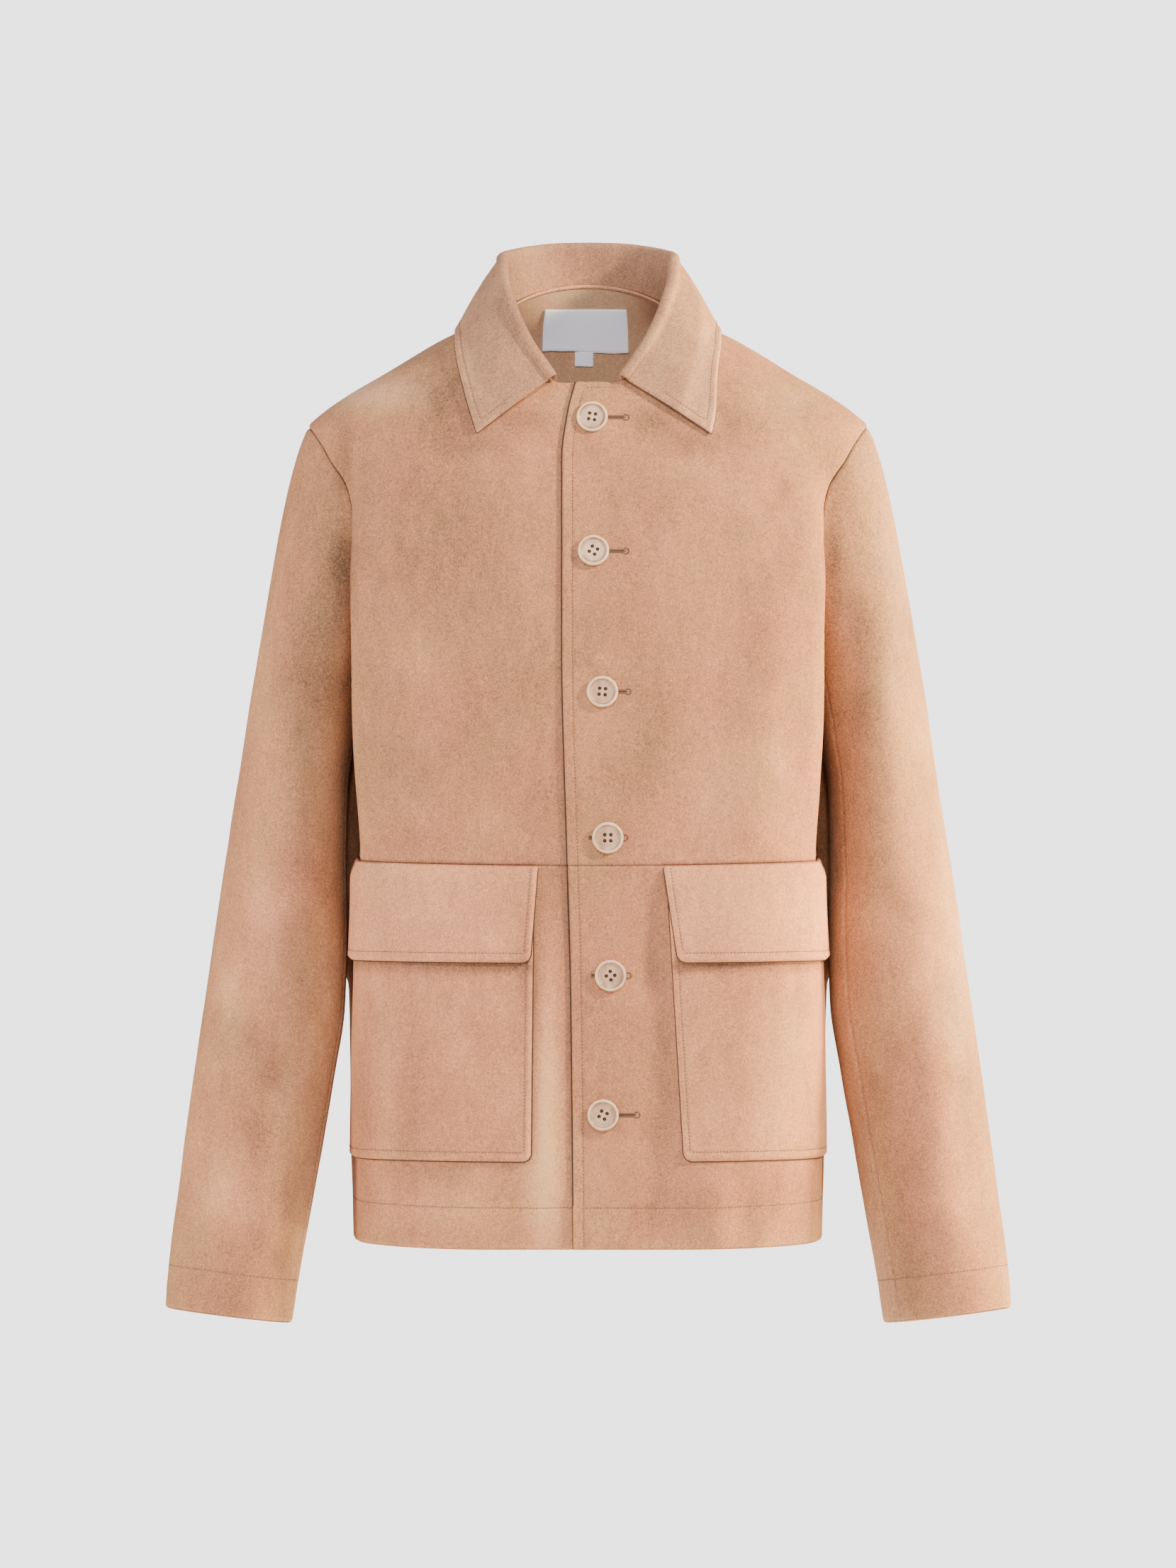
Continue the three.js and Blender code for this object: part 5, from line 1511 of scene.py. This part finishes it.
# The nap's cast wanders from pinkish to yellowish. Where it is painted pale, for painted sheen, highlights
# and paler shade, it goes pale.
CAST_STOPS = [(0.16, (1.0, 0.87, 0.8)), (0.34, (0.96, 0.97, 0.8)), (1.0, (1.25, 1.5, 1.6))]
COLLAR_STOPS = [
    (0.0, (0.19, 0.115, 0.092)),
    (0.35, (0.38, 0.225, 0.165)),
    (0.6, (0.54, 0.315, 0.222)),
    (1.0, (0.85, 0.53, 0.37)),
]
INSIDE_STOPS = [
    (0.0, (0.32, 0.22, 0.17)),
    (0.35, (0.52, 0.35, 0.27)),
    (0.6, (0.62, 0.42, 0.33)),
    (1.0, (0.85, 0.62, 0.5)),
]
SUEDE_STOPS = [
    (0.0, (0.15, 0.088, 0.07)),
    (0.35, (0.37, 0.193, 0.133)),
    (0.6, (0.54, 0.276, 0.178)),
    (1.0, (0.85, 0.47, 0.3)),
]
HORN_STOPS = [
    (0.0, (0.02, 0.014, 0.012)),
    (0.3, (0.34, 0.2, 0.13)),
    (0.62, (0.66, 0.43, 0.31)),
    (1.0, (0.82, 0.67, 0.47)),
]
RIBBON_STOPS = [(0.2, (0.74, 0.78, 0.9)), (0.75, (0.84, 0.87, 0.95))]

BUTTON_SEGMENTS = 64
RIM_INSIDE = BUTTON["radius"] - 1.2 * BUTTON["rim"]
GROOVE_RADIUS = BUTTON["radius"] - 1.5 * BUTTON["rim"]
RIM_TONE = 0.88
DISH_TONE = 0.48
GROOVE_SHADE = 0.2
HOLE_PLACES = [(1, 1), (1, -1), (-1, 1), (-1, -1)]
DRILL_LENGTH = 12
DRILL_SIDES = 20
THREAD_LEVELS = (0.1, 2.0)
THREAD_SIDES = 10
THREAD_FILL = 0.96


def button_geometry():
    """A dished button with a raised rim and four holes, its back at height 0 and its face up +Y."""
    radius, thick, rim, dish = (BUTTON[key] for key in ("radius", "thick", "rim", "dish"))
    profile = [
        (0, 0), (radius - 2.4, 0), (radius - 0.9, 0.35), (radius - 0.15, thick * 0.4), (radius, thick * 0.6),
        (radius - 0.15, thick * 0.82), (radius - 0.6, thick * 0.97), (radius - rim * 0.8, thick),
        (radius - rim * 1.25, thick - 0.12), (radius - rim * 1.5, thick - dish * 0.45),
        (radius - rim * 1.75, thick - dish * 0.85), (radius - rim * 2.3, thick - dish),
        (5, thick - dish * 1.05), (0, thick - dish * 1.0),
    ]
    points = [(0.0, 0.0, 0.0)]
    for r, y in profile[1:-1]:
        points += [(r * math.cos(a), y, r * math.sin(a)) for a in angles_round(BUTTON_SEGMENTS)]
    points.append((0.0, profile[-1][1], 0.0))
    n, last = BUTTON_SEGMENTS, len(points) - 1
    first = last - n
    faces = [(0, 1 + (j + 1) % n, 1 + j) for j in range(n)]
    faces += [*grid_faces(len(profile) - 2, n, 1, True)]
    faces += [(first + j, first + (j + 1) % n, last) for j in range(n)]
    return np.array(points), faces


def drilled_button(name):
    """The button's mesh with its four holes cut through."""
    button = mesh_piece(name, *button_geometry())
    drills = []
    spacing = BUTTON["hole_spacing"] * MM
    for dx, dz in HOLE_PLACES:
        bpy.ops.mesh.primitive_cylinder_add(
            vertices=DRILL_SIDES, radius=BUTTON["hole_radius"] * MM, depth=DRILL_LENGTH * MM,
            location=(dx * spacing, 0, dz * spacing), rotation=(math.pi / 2, 0, 0))
        drills.append(bpy.context.object)
    for drill in drills:
        cut = button.modifiers.new("hole", "BOOLEAN")
        cut.object = drill
        cut.solver = "EXACT"
    evaluated = button.evaluated_get(bpy.context.evaluated_depsgraph_get())
    mesh = bpy.data.meshes.new_from_object(evaluated)
    button.modifiers.clear()
    for drill in drills:
        bpy.data.objects.remove(drill, do_unlink=True)
    x, y, z = points_of(mesh).T / MM
    out = np.hypot(x, z)
    in_hole = np.zeros(len(out), dtype=bool)
    for dx, dz in HOLE_PLACES:
        away = np.hypot(x - dx * BUTTON["hole_spacing"], z - dz * BUTTON["hole_spacing"])
        in_hole |= away < BUTTON["hole_radius"] + 0.05
    tone = np.where(out > RIM_INSIDE, RIM_TONE, DISH_TONE + 0.1 * (1 - out / RIM_INSIDE))
    # A dark ring, painted shade in the groove between rim and dish, and near-black hole walls, painted shade
    # inside the holes.
    tone = np.where(np.abs(out - GROOVE_RADIUS) < 0.2, GROOVE_SHADE, tone)
    tone = np.where(in_hole & (y < BUTTON["thick"] - BUTTON["dish"] - 0.3), 0.0, tone)
    mark(mesh, "tone", tone)
    for polygon in mesh.polygons:
        polygon.use_smooth = abs(polygon.normal.y) < 0.999
    button.data = mesh
    return button


def button_frame(x, z, turn_degrees):
    """Where a button sits on the left front, as its place and its three axes."""
    across = np.array(across_at(x, z))
    height = np.array(float(z))
    out = torso_normal(across, height)
    place = torso_point(across, height, BUTTON_SEAT)
    side = normalized(np.cross(out, np.array([0.0, 0.0, 1.0])))
    up = np.cross(side, out)
    turn = math.radians(turn_degrees)
    first = side * math.cos(turn) + up * math.sin(turn)
    return place, first, out, np.cross(first, out)


def place_buttons(material):
    shape = drilled_button("button_blank")
    mesh = shape.data
    bpy.data.objects.remove(shape, do_unlink=True)
    local = points_of(mesh)
    for number, (x, z, turn) in enumerate(BUTTONS, 1):
        place, first, out, third = button_frame(x, z, turn)
        own = mesh.copy()
        own.name = "horn_button_%d" % number
        world = place * MM + local[:, :1] * first + local[:, 1:2] * out + local[:, 2:] * third
        own.vertices.foreach_set("co", world.astype(np.float32).ravel())
        own.update()
        own.materials.clear()
        piece = add_object(own.name, own)
        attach(piece, "root")
        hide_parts("button_%d" % number)
        dress(piece, material)


def button_threads(material):
    """The thread that fills each button's holes, near-black as painted shade in the holes."""
    walls, caps = rod_faces(len(THREAD_LEVELS), THREAD_SIDES)
    spacing, wide = BUTTON["hole_spacing"], BUTTON["hole_radius"] * THREAD_FILL
    points, faces = [], []
    for x, z, turn in BUTTONS:
        place, first, out, third = button_frame(x, z, turn)
        for dx, dz in HOLE_PLACES:
            faces += [*(walls + len(points)), *(caps + len(points))]
            for level in THREAD_LEVELS:
                for angle in angles_round(THREAD_SIDES):
                    a = dx * spacing + wide * math.cos(angle)
                    b = dz * spacing + wide * math.sin(angle)
                    points.append(place + first * a + out * level + third * b)
    dress(mesh_piece("button_threads", np.array(points), faces), material)


# Buttonholes: a slit with a round end, purled with close stitches, to the right of each button.
# Each reaches this far past its button, and where that is little it shows on the left as well.
HOLE_REACH = [15, 14, 9, 2.5, 3, 15]
SHORT_REACH = 5
HOLE_BACK = 14
HOLE_LIP = 0.35
EYE_RADIUS = 1.5
EYE_TURN = 0.82 * math.pi
PURL_PITCH = 0.62
PURL_LENGTH = 1.25
PURL_LIFT = 0.1
SLIT_STEP = 0.8
SLIT_HALF = 0.3
SLIT_LIFT = 0.12


def front_surface(x, z, out):
    across = np.array([across_at(float(a), float(b)) for a, b in zip(x, z)])
    return torso_point(across, z, out), torso_normal(across, z)


def buttonhole(number, thread, dark):
    x, z, _ = BUTTONS[number - 1]
    reach = HOLE_REACH[number - 1]
    left = x - HOLE_BACK if reach < SHORT_REACH else x
    eye = x + BUTTON["radius"] + reach - EYE_RADIUS
    leg = np.arange(left, eye - EYE_RADIUS, PURL_PITCH)
    round_eye = np.arange(EYE_TURN, -EYE_TURN, -PURL_PITCH / (EYE_RADIUS + HOLE_LIP))
    facing = [(math.cos(t), math.sin(t)) for t in round_eye]
    outline = [(a, HOLE_LIP, 0, 1) for a in leg]
    outline += [(eye + EYE_RADIUS * p, EYE_RADIUS * q, p, q) for p, q in facing]
    outline += [(a, -HOLE_LIP, 0, -1) for a in leg[::-1]]
    outline = np.array(outline)
    low = outline[:, :2]
    high = low + outline[:, 2:] * PURL_LENGTH
    start, normal = front_surface(low[:, 0], z + low[:, 1], PURL_LIFT)
    end, _ = front_surface(high[:, 0], z + high[:, 1], 0.0)
    stitches("buttonhole_purl_%d" % number, [(start, end, normal)], thread)
    # The slit is a near-black strip, painted shadow in its opening.
    slit_x = np.arange(left, eye + 0.01, SLIT_STEP)
    n = len(slit_x)
    sides = [front_surface(slit_x, np.full(n, z + half), SLIT_LIFT)[0] for half in (SLIT_HALF, -SLIT_HALF)]
    faces = [(i, i + 1, n + i + 1, n + i) for i in range(n - 1)]
    dress(mesh_piece("buttonhole_slit_shadow_%d" % number, np.concatenate(sides), faces), dark)


ROLL_SIDES = 8
# Rolls are painted this light, a painted highlight on the neck seam's ridge.
ROLL_HIGHLIGHT = 0.6
NECK_ROLL = (0.9, 1.5)
NECK_ROLL_REACH = NECK_BACK_SHARE * 1.25
NECK_ROLL_STEPS = 121
NECK_ROLL_DEPTH = 0.1
NECK_ROLL_FULL = 0.2

# Labels
NECK_LABEL = {"x0": -34, "x1": 30, "top": 2.8, "bottom": -27.8, "thick": 0.8}
SIZE_LABEL = {"x0": -9.5, "x1": 3.5, "top": -28.5, "bottom": -38.6, "thick": 0.8}
LABEL_STEPS = (18, 40)
LABEL_DEPTH = SUEDE + LAY_GAP


def label(node, size, material, bow):
    """A blank woven label on the inside of the back. bow is how far its waves hang down."""
    down, t = np.meshgrid(*(np.linspace(0, 1, steps) for steps in LABEL_STEPS), indexing="ij")
    x = lerp(size["x0"], size["x1"], t)
    sag = bow * down**2 * (0.55 * np.sin(t * 5.6 + 0.5) - 0.5 * t**3 + 0.12 * np.sin(t * 21))
    z = lerp(size["top"], size["bottom"], down) + sag
    share = x / back_length(z)
    across = np.where(x < 0, -2 - share, 2 - share)
    lift = LABEL_DEPTH + 0.15 * bow * down * np.sin(t * math.pi * 2)
    back_side = torso_point(across, z, -lift)
    normal = torso_normal(across, z)
    front_side = back_side - normal * size["thick"]
    piece = cloth_mesh("ribbon_" + node, front_side, back_side, 0.0, 0.0)
    piece.data.materials.append(material)
    return sewn(piece, node, front_side, back_side, -normal, edge_distances(front_side))


def face_inside(made, material):
    """Gives the inner face of a piece a material of its own."""
    rows, cols = made["outer"].shape[:2]
    count = (rows - 1) * (cols - 1)
    polygons = made["piece"].data.polygons
    index = np.zeros(len(polygons), dtype=np.int32)
    index[count:2 * count] = 1
    made["piece"].data.materials.append(material)
    polygons.foreach_set("material_index", index)


# Building
suede_body = suede_material("suede_body", (0.3, 0.1, 0.7), SUEDE_STOPS)
suede_sleeve = suede_material("suede_sleeve", (2.3, 1.1, 0.2), SUEDE_STOPS)
suede_patch = suede_material("suede_patch", (4.1, 0.4, 1.9), SUEDE_STOPS)
suede_collar = suede_material("suede_collar", (5.2, 3.3, 0.9), COLLAR_STOPS)
tan_thread = thread_material("tan_thread", (0.15, 0.078, 0.05), (0.3, 0.155, 0.1))
brown_thread = thread_material("brown_thread", (0.12, 0.065, 0.045), (0.27, 0.15, 0.1))
pale_thread = thread_material("pale_thread", (0.72, 0.74, 0.8), (0.88, 0.9, 0.94))
shadow = thread_material("slit_shadow", (0.03, 0.018, 0.013), (0.05, 0.03, 0.022))
horn = horn_material()
ribbon = label_material()

fronts = {}
for side, word in SIDES.items():
    upper, lower = upper_front(side), lower_front(side)
    for made in (upper, lower):
        made["piece"].data.materials.append(suede_body)
    fronts[word] = (upper, lower)
back = back_panel()
back["piece"].data.materials.append(suede_body)
face_inside(back, suede_material("suede_inside", (1.7, 2.9, 4.3), INSIDE_STOPS))
sleeves = {word: sleeve_tube(side) for side, word in SIDES.items()}
for made in sleeves.values():
    made["piece"].data.materials.append(suede_sleeve)
collar = collar_leaf()
collar["piece"].data.materials.append(suede_collar)
pockets = {word: pocket(side) for side, word in SIDES.items()}
flaps = {word: flap(side) for side, word in SIDES.items()}
for made in [*pockets.values(), *flaps.values()]:
    made["piece"].data.materials.append(suede_patch)
place_buttons(horn)
button_threads(shadow)
for number in range(1, len(BUTTONS) + 1):
    buttonhole(number, brown_thread, shadow)
neck_label = label("neck_label", NECK_LABEL, ribbon, 1.6)
size_label = label("size_label", SIZE_LABEL, ribbon, 0.3)


def run_along(made, side, offset, margins):
    return stitch_run(*line_at(made, side, offset, margins))


# How far rows of stitches stay from the armhole, the right front's hidden edge and the neck seam.
NECK_ROW_START = 150
HEM_ROW_START = 20
COLLAR_ROW_START = 42

thread_runs = {
    "stitches_front_left_upper": [
        run_along(fronts["left"][0], "left", FRONT_EDGE_STITCH, {"top": NECK_STITCH}),
        run_along(fronts["left"][0], "top", NECK_STITCH,
                  {"left": FRONT_EDGE_STITCH, "right": NECK_ROW_START}),
    ],
    "stitches_front_left_lower": [
        run_along(fronts["left"][1], "left", FRONT_EDGE_STITCH, {}),
        run_along(fronts["left"][1], "bottom", HEM_TURN, {"left": FRONT_EDGE_STITCH}),
    ],
    "stitches_front_right_lower": [
        run_along(fronts["right"][1], "bottom", HEM_TURN, {"left": HEM_ROW_START}),
    ],
    "stitches_back": [run_along(back, "bottom", HEM_TURN, {})],
    "stitches_sleeve_left": [run_along(sleeves["left"], "top", CUFF_STITCH, {})],
    "stitches_sleeve_right": [run_along(sleeves["right"], "top", CUFF_STITCH, {})],
    "stitches_collar": [
        run_along(collar, "right", COLLAR_STITCH, {"bottom": COLLAR_STITCH, "top": COLLAR_STITCH}),
        run_along(collar, "bottom", COLLAR_STITCH, {"right": COLLAR_STITCH, "left": COLLAR_ROW_START}),
        run_along(collar, "top", COLLAR_STITCH, {"right": COLLAR_STITCH, "left": COLLAR_ROW_START}),
    ],
}
for word in SIDES.values():
    for kind, group in (("pocket", pockets), ("flap", flaps)):
        thread_runs["stitches_%s_%s" % (kind, word)] = [
            run_along(group[word], "left", PATCH_SIDE_STITCH, {"top": PATCH_STITCH}),
            run_along(group[word], "top", PATCH_STITCH, {"left": PATCH_SIDE_STITCH}),
        ]
threads = {name: stitches(name, runs, tan_thread) for name, runs in thread_runs.items()}


WHIP_OFFSET = 0.9
WHIP_PITCH = 1.5
WHIP_LENGTH = 1.6
WHIP_RADIUS = 0.16
WHIP_START = 0.8
WHIP_END = 0.6
WHIP_RISE = 0.12


def whip_stitches():
    """Short pale stitches over the neck label's side edges."""
    runs = []
    for edge, sideways in (("left", -1.0), ("right", 1.0)):
        points, normals = line_at(neck_label, edge, WHIP_OFFSET, {})
        length, take = along_line(points)
        at = np.arange(WHIP_START, length - WHIP_END, WHIP_PITCH)
        starts = take(at, points)
        ends = starts + np.array([sideways, 0.0, WHIP_RISE]) * WHIP_LENGTH
        runs.append((starts, ends, normalized(take(at, normals))))
    stitches("whip_stitches_label", runs, pale_thread, WHIP_RADIUS)


whip_stitches()


def roll(name, centre, normal, size, material, taper=1.0):
    """A thin closed roll along a line. size is its half size across the surface and along it."""
    along = normalized(np.gradient(centre, axis=0))
    rise = normalized(np.cross(along, normal))
    rings = [
        centre + taper * (normal * math.cos(angle) * size[0] + rise * math.sin(angle) * size[1])
        for angle in angles_round(ROLL_SIDES)
    ]
    points = np.stack(rings, axis=1).reshape(-1, 3)
    walls, caps = rod_faces(len(centre), ROLL_SIDES)
    dress(mesh_piece(name, points, [*walls, *caps], np.full(len(points), ROLL_HIGHLIGHT)), material)


def neck_seam(material):
    """The soft roll along the seam where the collar meets the inside of the back."""
    reach = np.linspace(-NECK_ROLL_REACH, NECK_ROLL_REACH, NECK_ROLL_STEPS)
    places = np.array([neckline_place(float(k)) for k in reach])
    normal = torso_normal(places[:, 0], places[:, 1])
    centre = smooth_torso(places[:, 0], places[:, 1]) - normal * (SUEDE + NECK_ROLL_DEPTH)
    arch = np.sin(np.linspace(0, np.pi, len(reach)))
    taper = np.sqrt(np.clip(arch, NECK_ROLL_FULL / 10, NECK_ROLL_FULL) / NECK_ROLL_FULL)
    roll("neck_seam_roll", centre, normal, NECK_ROLL, material, taper[:, None])


# Each painted shadow line's place under and past the edge, and its radius.
SHADOW_LINE_SIZES = {
    "patch": (0.3, 0.45, 0.55),
    "waist": (0.12, 0.1, 0.26),
    "armhole": (0.12, 0.1, 0.3),
    "front_edge": (0.1, 0.75, 0.6),
    "collar": (0.2, 0.25, 0.4),
}
FALL_COLUMNS = slice(24, None)
WAIST_COLUMNS = slice(2, None)


def painted_shadow_line(name, made, grid, pick, kind):
    """A near-black roll just inside a piece's edge, painted shadow for the narrow gap under it. pick takes
    the edge from a grid at step 0, and what lies next inwards from it at step 1."""
    drop, reach, radius = SHADOW_LINE_SIZES[kind]
    edge, normal = pick(made[grid], 0), pick(made["normal"], 0)
    away = normalized(edge - pick(made[grid], 1))
    roll(name, edge - normal * drop + away * reach, normal, (radius, radius), shadow)


def round_patch(grid, step):
    return np.concatenate([grid[1:, step], grid[-1 - step, 1:]])


def round_collar(grid, step):
    ends = (grid[step, FALL_COLUMNS], grid[1:-1, -1 - step], grid[-1 - step, FALL_COLUMNS][::-1])
    return np.concatenate(ends)


neck_seam(suede_collar)
for word in SIDES.values():
    for kind, group in (("pocket", pockets), ("flap", flaps)):
        painted_shadow_line("gap_%s_%s" % (kind, word), group[word], "inner", round_patch, "patch")
    upper = fronts[word][0]
    painted_shadow_line("gap_waist_" + word, upper, "outer", lambda grid, step: grid[step, WAIST_COLUMNS], "waist")
    beside_sleeve = upper["outer"][:, -1, 2] > UNDERARM_Z
    painted_shadow_line("gap_armhole_" + word, upper, "outer",
             lambda grid, step: grid[beside_sleeve, -1 - step], "armhole")
for part, made in zip(("upper", "lower"), fronts["left"]):
    painted_shadow_line("gap_front_edge_" + part, made, "inner", lambda grid, step: grid[:, step], "front_edge")
painted_shadow_line("painted_shadow_collar", collar, "inner", round_collar, "collar")

# Studio
FLOOR_Z = -1.45
FLOOR_RADIUS = 4.5
CAMERA_DISTANCE = 14.0
FRONT_DEPTH = 0.09
BACKDROP = 2.98
AMBIENT = (0.46, 0.52, 0.64)
CAMERA_Z = -0.3497
FRAME_HEIGHT = 1.150
SENSOR = 36.0
LIGHTS_AIM = (0, 0, -0.35)
# Each light's name, place, size, power and colour.
LIGHTS = [
    ("fill", (0.1, -2.9, 1.25), (0.9, 0.7), 68, (1.0, 0.9, 0.72)),
    ("key", (2.0, -1.0, 1.0), (0.3, 0.3), 128, (1.0, 0.78, 0.46)),
    ("side", (1.8, 0.15, -0.5), (0.4, 1.5), 120, (1.0, 0.72, 0.32)),
    ("left", (-2.1, -0.6, -0.4), (0.5, 1.3), 44, (1.0, 0.82, 0.55)),
]


def add_floor():
    place = (0, 0, FLOOR_Z)
    bpy.ops.mesh.primitive_circle_add(vertices=96, radius=FLOOR_RADIUS, fill_type="NGON", location=place)
    floor = bpy.context.object
    floor.name = "studio_floor"
    material, _, shader, _ = new_material("studio_floor")
    set_inputs(shader, {"Base Color": (0.78, 0.76, 0.72, 1), "Roughness": 0.8})
    floor.data.materials.append(material)


def add_area(name, location, size, power, colour):
    data = bpy.data.lights.new(name, "AREA")
    data.shape = "RECTANGLE"
    data.size, data.size_y = size
    data.energy = power
    data.color = colour
    lamp = add_object(name, data)
    lamp.location = location
    aim = np.array(LIGHTS_AIM) - np.array(location)
    lamp.rotation_euler = Vector(aim).to_track_quat("-Z", "Y").to_euler()


def add_studio():
    add_floor()
    world = bpy.data.worlds.new("studio")
    bpy.context.scene.world = world
    world.use_nodes = True
    background = world.node_tree.nodes["Background"]
    seen = world.node_tree.nodes.new("ShaderNodeLightPath").outputs["Is Camera Ray"]
    colours = [(0.0, AMBIENT), (1.0, (BACKDROP, BACKDROP, BACKDROP))]
    world.node_tree.links.new(ramp(world.node_tree, seen, colours), background.inputs["Color"])
    for light in LIGHTS:
        add_area(*light)


def add_camera():
    data = bpy.data.cameras.new("camera")
    data.sensor_fit = "VERTICAL"
    data.sensor_height = SENSOR
    data.lens = SENSOR * (CAMERA_DISTANCE - FRONT_DEPTH) / FRAME_HEIGHT
    data.clip_end = 50
    camera = add_object("camera", data)
    camera.location = (0, -CAMERA_DISTANCE, CAMERA_Z)
    camera.rotation_euler = (math.pi / 2, 0, 0)
    bpy.context.scene.camera = camera


add_studio()
add_camera()
